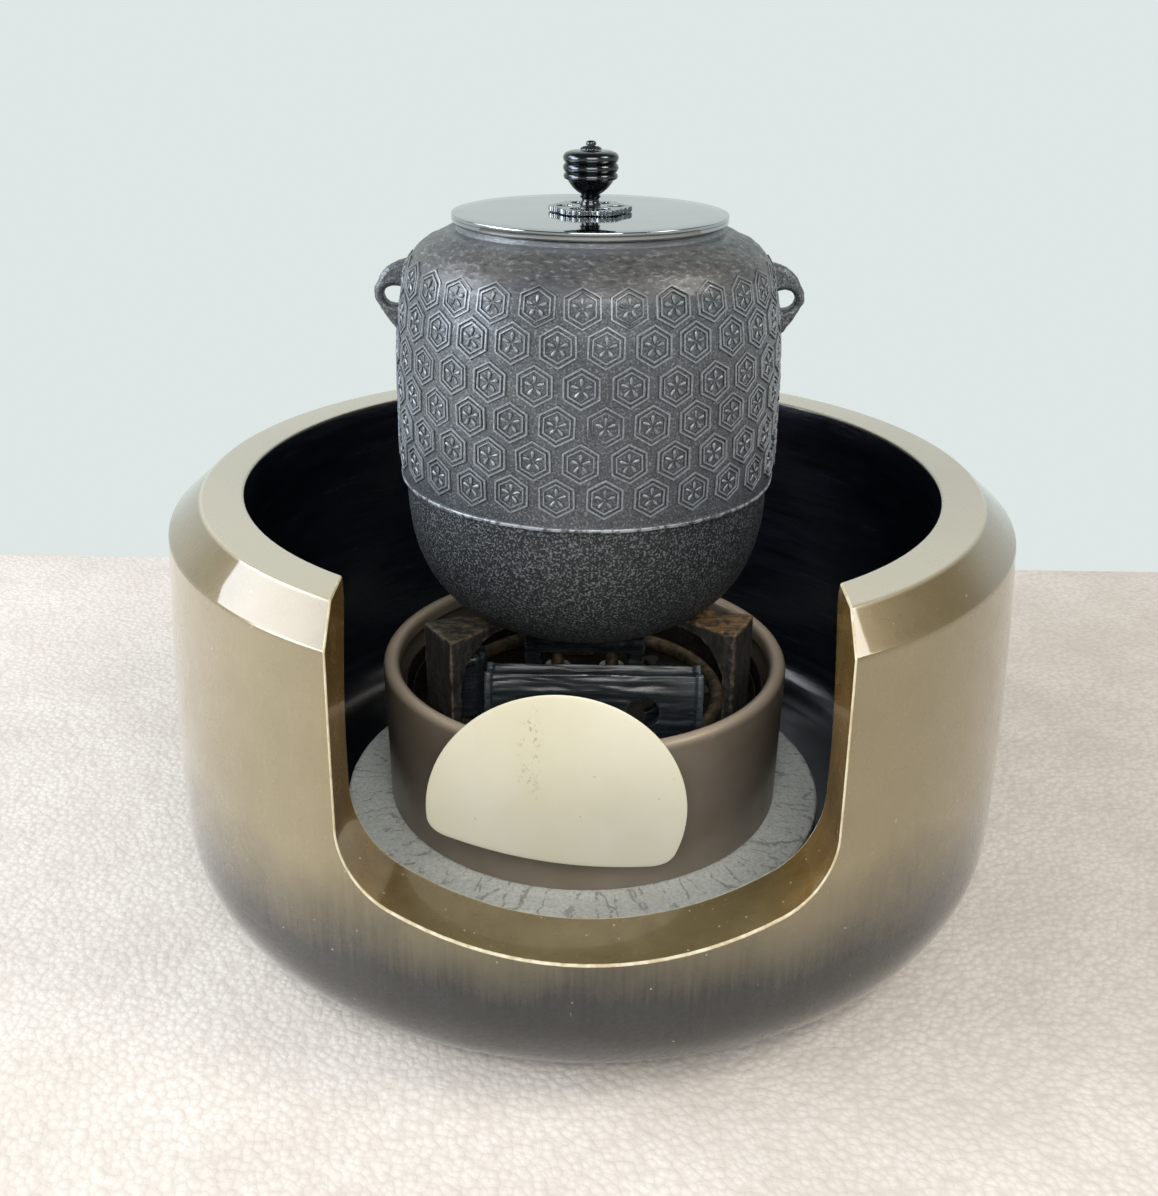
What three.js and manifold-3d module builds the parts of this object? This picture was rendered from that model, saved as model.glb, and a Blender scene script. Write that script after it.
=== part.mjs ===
// Electric tea brazier: a lacquered round casing with a chamfered rim and a front window,
// an electric heater unit with imitation charcoal and three trivet legs, a front tile,
// and a cast iron kettle with its lid. Millimetres, +Z up, the window faces -Y.
// The origin is on the floor under the middle of the casing.
import * as THREE from 'three';
import { mergeVertices } from 'three/addons/utils/BufferGeometryUtils.js';
import Module from 'manifold-3d';

const wasm = await Module();
wasm.setup();

// Fits
const seatGap = 0.3;
const boreGap = 0.4;
const cutPast = 5;

// Casing and its pads
const casingR = 190;
const casingHeight = 183.5;
const padHeight = 2.5;
const padR = 11;
const padCircleR = casingR - 62;
const rimInnerR = casingR - 38;
const rimFlat = 17.5;
const chamferWide = 14.4;
const chamferDrop = 12.4;
const kneeHigh = 36.8;
const kneeWide = 30;
const lipThroatR = rimInnerR - 1;
const lipThroatDepth = 10;
const hollowR = casingR - 27;
const flareDepth = 70;
const hollowFilletR = 22;
const casingFloorThick = 17.5;
const casingSides = 64;

// Front window
const windowHalf = 90.3;
const sillDepth = 119.8;
const sillArcR = 226;
const windowCornerR = 28;

// Cord way through the casing and into the heater
const glandRise = 16;
const casingHoleRise = 27;
const cordBoreR = 5.5;
const casingHoleR = 9;
const bushFlangeR = 12.5;
const bushFlangeThick = 2.5;
const bushInset = 3;
const bushStandoff = 1;
const glandHoleR = 8;
const glandFlangeR = 11;
const glandLength = 9;
const glandProud = 2.5;
const glandFlangeThick = 2;

// Insulation board
const boardR = 115.4;
const boardThick = 5.7;

// Heater unit: everything on the board stands around this axis
const unitX = -2.4;
const ringBaseR = 94;
const ringLipR = ringBaseR + 1;
const ringHeight = 70.9;
const ringSheet = 1.5;
const lipRollR = 3.75;
const lipReturn = 3;
const ringFootWide = 6;
const ringSides = 48;
const plateThick = 1.5;
const spacerHigh = 28;
const spacerR = 4.5;
const tieCircleR = 70;
const tieTurn = 30;
const boltR = 2;
const boltHeadR = 3.8;
const boltHeadHigh = 2;
const nutHigh = 1.1;
const panR = ringBaseR - 8.7;
const panSheet = 1;
const panWallHigh = 24;
const screenInset = 3.3;
const screenSheet = 0.8;
const screenHigh = 20;
const screenGapHalf = 14;

// Electric parts under and in the pan
const blockLong = 34;
const blockDeep = 18;
const blockHigh = 13;
const blockSlot = 3;
const blockScrewR = 3;
const blockScrewHigh = 1.6;
const cutoutR = 8;
const cutoutHigh = 9;
const cutoutFlangeR = 11;
const cutoutFlangeThick = 1.5;
const cutoutX = 34;
const elementTubeR = 3.6;
const elementLoopR = 64;
const elementRise = 15;
const elementTailHalf = 14;
const elementTailY = 46;
const elementTailDrop = 6;
const elementBendR = 9;
const tailBushR = 6.5;
const tailBushHigh = 5;
const tailHoleR = 5;
const clipWide = 7;
const clipSheet = 1.2;
const clipFootHalf = 6;
const clipAngles = [0, 115, 245];
const leadR = 1.5;
const clampLong = 20;
const clampDeep = 8;
const clampHigh = 9;
const clampInset = 22;

// Trivet legs
const legTurn = 5;
const legSpread = 60;
const legInset = 2.5;
const legThick = 5;
const legWide = 24;
const armTipR = 47;
const armTipFlat = 6;
const armTipWide = 11;
const armTipThick = 5;
const armFilletRise = 24;
const legTopRise = 28.8;
const legFootLong = 8;
const legFootThick = 5;
const rivetR = 2;
const rivetHeadR = 3.2;
const rivetHeadHigh = 1.6;

// Imitation charcoal
const logLong = 96;
const logX = 4.5;
const logFrontY = -60;
const logDeep = 19;
const logTopDrop = 13;
const logBark = 6;
const logToe = 4;
const logToeHigh = 7;
const logBulgeDrop = 22;
const logBulge = 1;
const logEaveDrop = 8;
const logLip = 3.5;
const logTroughWide = 10;
const logTroughDrop = 6;
const logRidgeDrop = 3;
const logShell = 8;
const logBackHigh = 16;
const logFootHalf = 27;
const logFootWide = 10;
const logFootThick = 5;
const logHoleR = 7;
const logHoleX = 26;
const logHoleDrop = 18;
const stubR = 9;
const stubRadius = 60;
const stubAngle = -62;
const stubTopDrop = 16;
const stubEdge = 2;
const stubFootR = 5;
const rearLogLong = 60;
const rearLogR = 11;
const rearLogY = 38;
const rearLogTopDrop = 22;
const rearLogEnd = 8;
const rearArchGap = 3;

// Front tile and its hook
const tileR = 53.5;
const tileRoundRise = 19;
const tileChordHalf = 47.7;
const tileSag = 6.5;
const tileThick = 8;
const tileEdge = 1.5;
const tileCornerR = 6;
const tileTilt = 9.1;
const tileX = -15.6;
const tileRise = 30.1;
const tileStandoff = 3;
const hookWide = 14;
const hookSheet = 1.2;
const hookDrop = 12;
const hookPadHigh = 26;
const tileRivetR = 2.6;
const tileRivetHigh = 1;
const tileRivetSpread = 7;
const tileRivetRise = 6;

// Kettle
const bowlR = 79.7;
const bowlDepth = 71.9;
const bowlPower = 2.72;
const bowlRound = 2.59;
const seamRise = 61.4;
const seamLip = 2.6;
const seamLipHigh = 2;
const bodyR = 81.8;
const bodyHigh = 50;
const waistIn = 1.1;
const waistRise = 16;
const shoulderR = 78.4;
const shoulderRise = 81;
// Steps of the shoulder's curve: inwards from its edge, and up
const shoulderCurve = [[1.8, 9], [5.8, 15.4], [11.4, 19.4], [17.4, 21.4]];
const shoulderTopRise = 103.6;
const collarR = 55.3;
const collarRise = 107;
const collarWall = 4.1;
const kettleWall = 4;
const kettleSides = 44;

// Kettle lugs: heights are from the middle of the hole
const lugWide = 8.5;
const lugEdge = 1.5;
const lugRise = 76;
const lugRootIn = 8;
const lugRootDrop = 18;
const lugRootHigh = 15.5;
const lugOut = 8.9;
const lugHoleOut = 5.4;
const lugHoleLong = 10;
const lugHoleHigh = 8.4;
const lugBellyDrop = 4;
const lugBrowHigh = 6;
const lugNub = 1.7;
const lugNubHalf = 2;

// Lid and knob
const lidOverhang = 2;
const lidThick = 3.5;
const lidEdge = 0.4;
const lidFlangeGap = 0.8;
const lidFlangeHigh = 7;
const lidFlangeThick = 2.4;
const lidFlangeLead = 2;
const seatR = 17;
const seatThick = 2;
const seatPetals = 6;
const seatPetalDip = 2.2;
const seatHoleR = 2.9;
const seatHoleLong = 7.2;
const seatHoleCircleR = 10.5;
const knobR = 11.4;
const knobFootR = 4;
const knobNeckR = 3.2;
const knobFootHigh = 1;
const knobNeckHigh = 2.8;
const knobCupRise = 4;
const knobBeads = 3;
const knobBeadHigh = 3.5;
const knobBeadDip = 1.2;
const knobHigh = 21.4;
const knobCrownHigh = 1.4;
const knobCrownR = 6.2;
const pinR = 1.5;
const pinHeadR = 4;
const pinHeadHigh = 1.4;
const rosetteR = 4.4;
const rosetteHigh = 1.3;
const pinButtonR = 2.1;
const pinButtonHigh = 1.9;
const pinButtonEdge = 0.5;

// Radii and depths that follow
const screenR = panR - screenInset;
const legFaceR = screenR - screenSheet - legInset;
const clampY = ringBaseR - clampInset;
const logBackY = logFrontY + logDeep;
const mouthR = collarR - collarWall;
const lidR = collarR + lidOverhang;
const lidFlangeR = mouthR - lidFlangeGap;
const tileBackY = -ringLipR - tileStandoff;

// Heights that follow
const casingBottom = padHeight;
const rimTop = casingBottom + casingHeight;
const hollowFloor = casingBottom + casingFloorThick;
const boardBottom = hollowFloor + seatGap;
const boardTop = boardBottom + boardThick;
const ringBottom = boardTop + seatGap;
const ringTop = ringBottom + ringHeight;
const plateBottom = ringBottom + ringSheet + seatGap;
const plateTop = plateBottom + plateThick;
const spacerBottom = plateTop + seatGap;
const panBottom = spacerBottom + spacerHigh + seatGap;
const panFloor = panBottom + panSheet;
const panTop = panFloor + panWallHigh;
const glandZ = boardTop + glandRise;
const casingHoleZ = boardTop + casingHoleRise;
const legFootBottom = panFloor + seatGap;
const legTop = ringTop + legTopRise;
const elementZ = panFloor + elementRise;
const logTop = legTop - logTopDrop;
const stubTop = legTop - stubTopDrop;
const rearLogTop = legTop - rearLogTopDrop;
const tileZ = ringBottom + tileRise;
const seamZ = legTop + seamRise;
const kettleTop = seamZ + collarRise;
const lidBottom = kettleTop + seatGap;
const lidTop = lidBottom + lidThick;
const seatBottom = lidTop + seatGap;
const seatTop = seatBottom + seatThick;
const knobBottom = seatTop + seatGap;

const deg = Math.PI / 180;

function finish(name, rgb, roughness, metalness) {
  return new THREE.MeshStandardMaterial({ name, color: rgb, roughness, metalness });
}

// Closed, merged geometry without empty triangles and with its faces pointing out
function closed(geometry) {
  const bare = geometry.index ? geometry.clone() : mergeVertices(geometry.clone());
  bare.deleteAttribute('normal');
  bare.deleteAttribute('uv');
  const merged = mergeVertices(bare, 1e-4);
  const p = merged.attributes.position;
  const index = merged.index.array;
  const kept = [];
  const a = new THREE.Vector3();
  const b = new THREE.Vector3();
  const c = new THREE.Vector3();
  let volume = 0;
  for (let i = 0; i < index.length; i += 3) {
    const [i0, i1, i2] = [index[i], index[i + 1], index[i + 2]];
    if (i0 === i1 || i1 === i2 || i2 === i0) continue;
    kept.push(i0, i1, i2);
    a.fromBufferAttribute(p, i0);
    b.fromBufferAttribute(p, i1);
    c.fromBufferAttribute(p, i2);
    volume += a.dot(b.cross(c));
  }
  if (volume < 0) kept.reverse();
  merged.setIndex(kept);
  merged.computeVertexNormals();
  return merged;
}

function toSolid(geometry) {
  const mesh = closed(geometry);
  return new wasm.Manifold(new wasm.Mesh({
    numProp: 3,
    vertProperties: new Float32Array(mesh.attributes.position.array),
    triVerts: new Uint32Array(mesh.index.array),
  }));
}

function toGeometry(solid) {
  const mesh = solid.getMesh();
  const geometry = new THREE.BufferGeometry();
  geometry.setAttribute('position', new THREE.BufferAttribute(new Float32Array(mesh.vertProperties), 3));
  geometry.setIndex(Array.from(mesh.triVerts));
  return closed(geometry);
}

function cut(geometry, ...tools) {
  let solid = toSolid(geometry);
  for (const tool of tools) solid = solid.subtract(toSolid(tool));
  return toGeometry(solid);
}

function join(...pieces) {
  let solid = toSolid(pieces[0]);
  for (const piece of pieces.slice(1)) solid = solid.add(toSolid(piece));
  return toGeometry(solid);
}

// A turned shape about Z from [radius, height] points
function turned(points, sides) {
  const profile = points.map(([r, z]) => new THREE.Vector2(r, z));
  return new THREE.LatheGeometry(profile, sides).rotateX(Math.PI / 2);
}

// A turned shape whose profile closes on itself
function turnedRing(points, sides) {
  return turned([...points, points[0]], sides);
}

function rod(radius, bottom, top, sides = 16) {
  return turned([[0, bottom], [radius, bottom], [radius, top], [0, top]], sides);
}

function tube(outer, inner, bottom, top, sides = 24) {
  return turnedRing([[inner, bottom], [outer, bottom], [outer, top], [inner, top]], sides);
}

function box(x0, x1, y0, y1, z0, z1) {
  const shape = new THREE.BoxGeometry(x1 - x0, y1 - y0, z1 - z0);
  return shape.translate((x0 + x1) / 2, (y0 + y1) / 2, (z0 + z1) / 2);
}

// An outline in the XZ plane, given thickness along Y from y0 to y1
function slab(shape, y0, y1, curveSegments = 12) {
  const flat = new THREE.ExtrudeGeometry(shape, { depth: y1 - y0, bevelEnabled: false, curveSegments });
  return flat.rotateX(Math.PI / 2).translate(0, y1, 0);
}

function outline(points) {
  return new THREE.Shape(points.map(([x, y]) => new THREE.Vector2(x, y)));
}

// A round tube along a curve
function pipe(curve, radius, steps, sides = 8) {
  const section = new THREE.Shape();
  for (let i = 0; i <= sides; i += 1) {
    const angle = (i / sides) * 2 * Math.PI;
    const point = [radius * Math.cos(angle), radius * Math.sin(angle)];
    if (i === 0) section.moveTo(...point);
    else if (i < sides) section.lineTo(...point);
  }
  return new THREE.ExtrudeGeometry(section, { steps, extrudePath: curve, bevelEnabled: false });
}

function ringOf(count, startDegrees, make) {
  return Array.from({ length: count }, (_, i) => make(startDegrees + (i * 360) / count));
}

// Angle 0 points to -Y, the front, and turns towards +X
function turnFromFront(geometry, degrees) {
  return geometry.rotateZ(degrees * deg);
}

function atFront(radius, degrees) {
  return [radius * Math.sin(degrees * deg), -radius * Math.cos(degrees * deg)];
}

function casingSideR(z) {
  const kneeTop = casingBottom + kneeHigh;
  const share = (z - kneeTop) / (rimTop - chamferDrop - kneeTop);
  return casingR - (casingR - rimInnerR - rimFlat - chamferWide) * share * share;
}

function casingHollowR(z) {
  const throatZ = rimTop - lipThroatDepth;
  const flareZ = rimTop - flareDepth;
  if (z >= throatZ) return lipThroatR;
  if (z <= flareZ) return hollowR;
  const share = (throatZ - z) / (throatZ - flareZ);
  return lipThroatR + (hollowR - lipThroatR) * Math.sin(share * Math.PI / 2);
}

function casingProfile() {
  const kneeTop = casingBottom + kneeHigh;
  const points = [[0, casingBottom]];
  const kneeSteps = 5;
  for (let i = 0; i <= kneeSteps; i += 1) {
    const angle = (i / kneeSteps) * Math.PI / 2;
    points.push([casingR - kneeWide + kneeWide * Math.sin(angle), kneeTop - kneeHigh * Math.cos(angle)]);
  }
  const sideSteps = 4;
  for (let i = 1; i <= sideSteps; i += 1) {
    const z = kneeTop + (i / sideSteps) * (rimTop - chamferDrop - kneeTop);
    points.push([casingSideR(z), z]);
  }
  points.push([rimInnerR + rimFlat, rimTop], [rimInnerR, rimTop]);
  const flareSteps = 4;
  for (let i = 0; i <= flareSteps; i += 1) {
    const z = rimTop - lipThroatDepth - (i / flareSteps) * (flareDepth - lipThroatDepth);
    points.push([casingHollowR(z), z]);
  }
  const filletSteps = 3;
  for (let i = 0; i <= filletSteps; i += 1) {
    const angle = (i / filletSteps) * Math.PI / 2;
    points.push([
      hollowR - hollowFilletR + hollowFilletR * Math.cos(angle),
      hollowFloor + hollowFilletR - hollowFilletR * Math.sin(angle),
    ]);
  }
  points.push([0, hollowFloor]);
  return points;
}

// The window's outline: upright sides, round lower corners and a slightly hollow sill
function windowShape() {
  const sillZ = rimTop - sillDepth;
  const arcZ = sillZ + sillArcR;
  const cornerX = windowHalf - windowCornerR;
  const cornerZ = arcZ - Math.sqrt((sillArcR - windowCornerR) ** 2 - cornerX ** 2);
  const meet = Math.atan2(cornerX, arcZ - cornerZ);
  const shape = new THREE.Shape();
  shape.moveTo(-windowHalf, rimTop + cutPast);
  shape.lineTo(-windowHalf, cornerZ);
  shape.absarc(-cornerX, cornerZ, windowCornerR, Math.PI, 1.5 * Math.PI - meet, false);
  shape.absarc(0, arcZ, sillArcR, 1.5 * Math.PI - meet, 1.5 * Math.PI + meet, false);
  shape.absarc(cornerX, cornerZ, windowCornerR, 1.5 * Math.PI + meet, 2 * Math.PI, false);
  shape.lineTo(windowHalf, rimTop + cutPast);
  return shape;
}

function casingShell() {
  const window = slab(windowShape(), -casingR - cutPast, -hollowR / 2, 8);
  const cordHole = rod(casingHoleR, 0, casingR + cutPast, 16).rotateX(-Math.PI / 2);
  return cut(turned(casingProfile(), casingSides), window, cordHole.translate(unitX, 0, casingHoleZ));
}

function pad(degrees) {
  const [x, y] = atFront(padCircleR, degrees);
  return rod(padR, 0, padHeight, 24).translate(x, y, 0);
}

// A grommet lining the hole in the casing's rear wall, flanged on the inside
function cordBush() {
  const wallY = hollowR - bushFlangeThick - bushStandoff;
  const outerY = casingR - bushInset;
  const profile = [
    [cordBoreR, wallY],
    [bushFlangeR, wallY],
    [bushFlangeR, wallY + bushFlangeThick],
    [casingHoleR - boreGap, wallY + bushFlangeThick],
    [casingHoleR - boreGap, outerY],
    [cordBoreR, outerY],
  ];
  return turnedRing(profile, 20).rotateX(-Math.PI / 2).translate(unitX, 0, casingHoleZ);
}

function insulationBoard() {
  return rod(boardR, boardBottom, boardTop, 56);
}

function guardRing() {
  const rollZ = ringTop - lipRollR;
  const rollR = ringLipR - lipRollR;
  const points = [
    [ringBaseR - ringFootWide, ringBottom],
    [ringBaseR, ringBottom],
  ];
  const steps = 6;
  for (let i = 0; i <= steps; i += 1) {
    const angle = (i / steps) * Math.PI;
    points.push([rollR + lipRollR * Math.cos(angle), rollZ + lipRollR * Math.sin(angle)]);
  }
  points.push([rollR - lipRollR, rollZ - lipReturn], [rollR - lipRollR + ringSheet, rollZ - lipReturn]);
  const innerRoll = lipRollR - ringSheet;
  for (let i = steps; i >= 0; i -= 2) {
    const angle = (i / steps) * Math.PI;
    points.push([rollR + innerRoll * Math.cos(angle), rollZ + innerRoll * Math.sin(angle)]);
  }
  points.push([ringBaseR - ringSheet, ringBottom + ringSheet]);
  points.push([ringBaseR - ringFootWide, ringBottom + ringSheet]);
  const hole = rod(glandHoleR, 0, ringLipR + cutPast, 16).rotateX(-Math.PI / 2).translate(0, 0, glandZ);
  return cut(turnedRing(points, ringSides), hole);
}

function cordGland() {
  const outside = ringLipR + glandProud;
  const inside = outside - glandLength;
  const profile = [
    [cordBoreR, inside],
    [glandHoleR - boreGap, inside],
    [glandHoleR - boreGap, outside - glandFlangeThick],
    [glandFlangeR, outside - glandFlangeThick],
    [glandFlangeR, outside],
    [cordBoreR, outside],
  ];
  return turnedRing(profile, 20).rotateX(-Math.PI / 2).translate(0, 0, glandZ);
}

function tieHoles(bottom, top) {
  return ringOf(3, tieTurn, (angle) => {
    const [x, y] = atFront(tieCircleR, angle);
    return rod(boltR + boreGap, bottom - cutPast, top + cutPast, 12).translate(x, y, 0);
  });
}

function basePlate() {
  const plateR = ringBaseR - ringSheet - boreGap;
  return cut(rod(plateR, plateBottom, plateTop, ringSides), ...tieHoles(plateBottom, plateTop));
}

function panSpacers() {
  return ringOf(3, tieTurn, (angle) => {
    const [x, y] = atFront(tieCircleR, angle);
    return tube(spacerR, boltR + boreGap, spacerBottom, spacerBottom + spacerHigh, 12).translate(x, y, 0);
  });
}

function tieBolts() {
  const headZ = panFloor + seatGap;
  const end = plateBottom - seatGap - nutHigh;
  const profile = [[0, end], [boltR, end], [boltR, headZ], [boltHeadR, headZ]];
  profile.push([boltHeadR, headZ + boltHeadHigh], [0, headZ + boltHeadHigh]);
  return ringOf(3, tieTurn, (angle) => {
    const [x, y] = atFront(tieCircleR, angle);
    return turned(profile, 12).translate(x, y, 0);
  });
}

function tieNuts() {
  const top = plateBottom - seatGap;
  return ringOf(3, tieTurn, (angle) => {
    const [x, y] = atFront(tieCircleR, angle);
    return tube(boltHeadR, boltR + boreGap, top - nutHigh, top, 6).translate(x, y, 0);
  });
}

function rivetPlace(angle) {
  return atFront(legFaceR - legThick - legFootLong / 2, angle);
}

function legAngles() {
  return [legTurn - legSpread, legTurn + legSpread, legTurn + 180];
}

function rivetHoles(bottom, top) {
  return legAngles().map((angle) => {
    const [x, y] = rivetPlace(angle);
    return rod(rivetR + boreGap, bottom - cutPast, top + cutPast, 10).translate(x, y, 0);
  });
}

function reflectorPan() {
  const inner = panR - panSheet;
  const profile = [
    [0, panBottom],
    [panR, panBottom],
    [panR, panTop],
    [inner, panTop],
    [inner, panFloor],
    [0, panFloor],
  ];
  const tails = [-1, 1].map((side) => {
    const hole = rod(tailHoleR, panBottom - cutPast, panFloor + cutPast, 12);
    return hole.translate(side * elementTailHalf, elementTailY, 0);
  });
  const bolts = tieHoles(panBottom, panFloor);
  const rivets = rivetHoles(panBottom, panFloor);
  return cut(turned(profile, 44), ...bolts, ...rivets, ...tails);
}

// An upright strip inside the pan that keeps the guard ring cool, open at the rear for the element
function heatScreen() {
  const bottom = panFloor + seatGap;
  const top = bottom + screenHigh;
  const strip = tube(screenR, screenR - screenSheet, bottom, top, 44);
  const gap = box(-screenGapHalf, screenGapHalf, 0, screenR + cutPast, bottom - cutPast, top + cutPast);
  return cut(strip, gap);
}

function terminalBlock() {
  const bottom = plateTop + seatGap;
  const top = bottom + blockHigh;
  const body = box(-blockLong / 2, blockLong / 2, -blockDeep / 2, blockDeep / 2, bottom, top);
  const slot = box(-blockSlot / 2, blockSlot / 2, -blockDeep, blockDeep, (bottom + top) / 2, top + cutPast);
  return cut(body, slot).translate(0, elementTailY, 0);
}

function terminalScrews() {
  const bottom = plateTop + 2 * seatGap + blockHigh;
  return [-1, 1].map((side) => (
    rod(blockScrewR, bottom, bottom + blockScrewHigh, 12).translate(side * blockLong / 4, elementTailY, 0)
  ));
}

function thermalCutout() {
  const top = panBottom - seatGap;
  const profile = [
    [0, top - cutoutHigh],
    [cutoutR, top - cutoutHigh],
    [cutoutR, top - cutoutFlangeThick],
    [cutoutFlangeR, top - cutoutFlangeThick],
    [cutoutFlangeR, top],
    [0, top],
  ];
  return turned(profile, 20).translate(cutoutX, 0, 0);
}

// One sheathed loop round the pan: it rises through the floor at the rear on either side
function elementTube() {
  const gapAngle = Math.asin(elementTailHalf / elementLoopR);
  const loopY = elementLoopR * Math.cos(gapAngle);
  const low = panBottom - elementTailDrop;
  const curve = new THREE.CurvePath();
  const start = new THREE.Vector3(elementTailHalf, elementTailY, low);
  const riseEnd = new THREE.Vector3(elementTailHalf, elementTailY, elementZ - elementBendR);
  const corner = new THREE.Vector3(elementTailHalf, elementTailY, elementZ);
  const loopStart = new THREE.Vector3(elementTailHalf, loopY, elementZ);
  curve.add(new THREE.LineCurve3(start, riseEnd));
  curve.add(new THREE.QuadraticBezierCurve3(riseEnd, corner, loopStart));
  const loopPoints = [];
  const steps = 30;
  for (let i = 0; i <= steps; i += 1) {
    const angle = Math.PI - gapAngle - (i / steps) * 2 * (Math.PI - gapAngle);
    const [x, y] = atFront(elementLoopR, angle / deg);
    loopPoints.push(new THREE.Vector3(x, y, elementZ));
  }
  curve.add(new THREE.CatmullRomCurve3(loopPoints));
  const mirror = (v) => new THREE.Vector3(-v.x, v.y, v.z);
  curve.add(new THREE.QuadraticBezierCurve3(mirror(loopStart), mirror(corner), mirror(riseEnd)));
  curve.add(new THREE.LineCurve3(mirror(riseEnd), mirror(start)));
  return pipe(curve, elementTubeR, 60, 8);
}

// Ceramic bushes that carry the element's two tails in the pan floor
function elementBushes() {
  const bottom = panFloor + seatGap;
  return [-1, 1].map((side) => (
    tube(tailBushR, elementTubeR + boreGap, bottom, bottom + tailBushHigh, 16)
      .translate(side * elementTailHalf, elementTailY, 0)
  ));
}

// Bent strips standing on the pan floor under the element's loop
function elementClips() {
  const bottom = panFloor + seatGap;
  const saddle = elementZ - elementTubeR - seatGap;
  return clipAngles.map((angle) => {
    const foot = box(-clipWide / 2, clipWide / 2, -clipFootHalf, clipFootHalf, bottom, bottom + clipSheet);
    const post = box(-clipWide / 2, clipWide / 2, -clipSheet / 2, clipSheet / 2, bottom, saddle);
    const [x, y] = atFront(elementLoopR, angle);
    return turnFromFront(join(foot, post), angle).translate(x, y, 0);
  });
}

// A wire from a terminal screw up to one tail of the element
function lead(side) {
  const low = plateTop + 3 * seatGap + blockHigh + blockScrewHigh;
  const high = panBottom - elementTailDrop - seatGap;
  const near = side * blockLong / 4;
  const far = side * elementTailHalf;
  const middle = (low + high) / 2;
  const curve = new THREE.CubicBezierCurve3(
    new THREE.Vector3(near, elementTailY, low),
    new THREE.Vector3(near, elementTailY, middle),
    new THREE.Vector3(far, elementTailY, middle),
    new THREE.Vector3(far, elementTailY, high),
  );
  return pipe(curve, leadR, 8, 6);
}

function cordClamp() {
  const bottom = plateTop + seatGap;
  const body = box(-clampLong / 2, clampLong / 2, -clampDeep / 2, clampDeep / 2, bottom, bottom + clampHigh);
  const saddle = rod(cordBoreR, -clampDeep, clampDeep, 12).rotateX(Math.PI / 2).translate(0, 0, glandZ);
  return cut(body, saddle).translate(0, clampY, 0);
}

// One superellipse quarter for the kettle's bowl, widened by an even allowance
function bowlPoints(allowance, steps) {
  const points = [];
  for (let i = 0; i <= steps; i += 1) {
    const down = Math.sin((i / steps) * Math.PI / 2);
    const r = bowlR * (1 - down ** bowlPower) ** (1 / bowlRound);
    points.push([Math.max(r + allowance * (i < steps ? 1 : 0), 0), seamZ - (bowlDepth + allowance) * down]);
  }
  return points.reverse();
}

// An angle bracket: a riveted foot, an upright post and a tapering arm that cradles the bowl
function trivetLeg() {
  const inner = legFaceR - legThick;
  const footTop = legFootBottom + legFootThick;
  const filletEnd = armTipR + armTipFlat;
  const profile = [
    [legFaceR, legFootBottom],
    [legFaceR, legTop],
    [armTipR, legTop],
    [armTipR, legTop - armTipThick],
    [filletEnd, legTop - armTipThick],
  ];
  const steps = 5;
  for (let i = 1; i <= steps; i += 1) {
    const angle = (i / steps) * Math.PI / 2;
    profile.push([
      filletEnd + (inner - filletEnd) * Math.sin(angle),
      legTop - armTipThick - armFilletRise * (1 - Math.cos(angle)),
    ]);
  }
  profile.push([inner, footTop], [inner - legFootLong, footTop], [inner - legFootLong, legFootBottom]);
  const bracket = slab(outline(profile), -legWide / 2, legWide / 2);
  const plan = outline([
    [legFaceR + cutPast, -legWide / 2],
    [legFaceR + cutPast, legWide / 2],
    [inner, legWide / 2],
    [armTipR, armTipWide / 2],
    [armTipR, -armTipWide / 2],
    [inner, -legWide / 2],
  ]);
  const wedge = new THREE.ExtrudeGeometry(plan, { depth: legTop + cutPast, bevelEnabled: false });
  const bowl = turned([...bowlPoints(seatGap, 14), [0, seamZ]], 96);
  const hole = rod(rivetR + boreGap, panFloor, footTop + cutPast, 10);
  hole.translate(inner - legFootLong / 2, 0, 0);
  const cast = toSolid(bracket).intersect(toSolid(wedge)).subtract(toSolid(bowl)).subtract(toSolid(hole));
  return toGeometry(cast).rotateZ(-Math.PI / 2);
}

function legRivets() {
  const low = panBottom - seatGap;
  const high = legFootBottom + legFootThick + seatGap;
  const profile = [
    [0, low - rivetHeadHigh],
    [rivetHeadR, low - rivetHeadHigh],
    [rivetHeadR, low],
    [rivetR, low],
    [rivetR, high],
    [rivetHeadR, high],
    [rivetHeadR, high + rivetHeadHigh],
    [0, high + rivetHeadHigh],
  ];
  return legAngles().map((angle) => {
    const [x, y] = rivetPlace(angle);
    return turned(profile, 10).translate(x, y, 0);
  });
}

// A curved length of an outline given in Y and Z, extruded along X from x0
function alongX(shape, x0, length, curveSegments = 6) {
  const piece = new THREE.ExtrudeGeometry(shape, { depth: length, bevelEnabled: false, curveSegments });
  piece.applyMatrix4(new THREE.Matrix4().set(0, 0, 1, 0, 1, 0, 0, 0, 0, 1, 0, 0, 0, 0, 0, 1));
  return piece.translate(x0, 0, 0);
}

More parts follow.
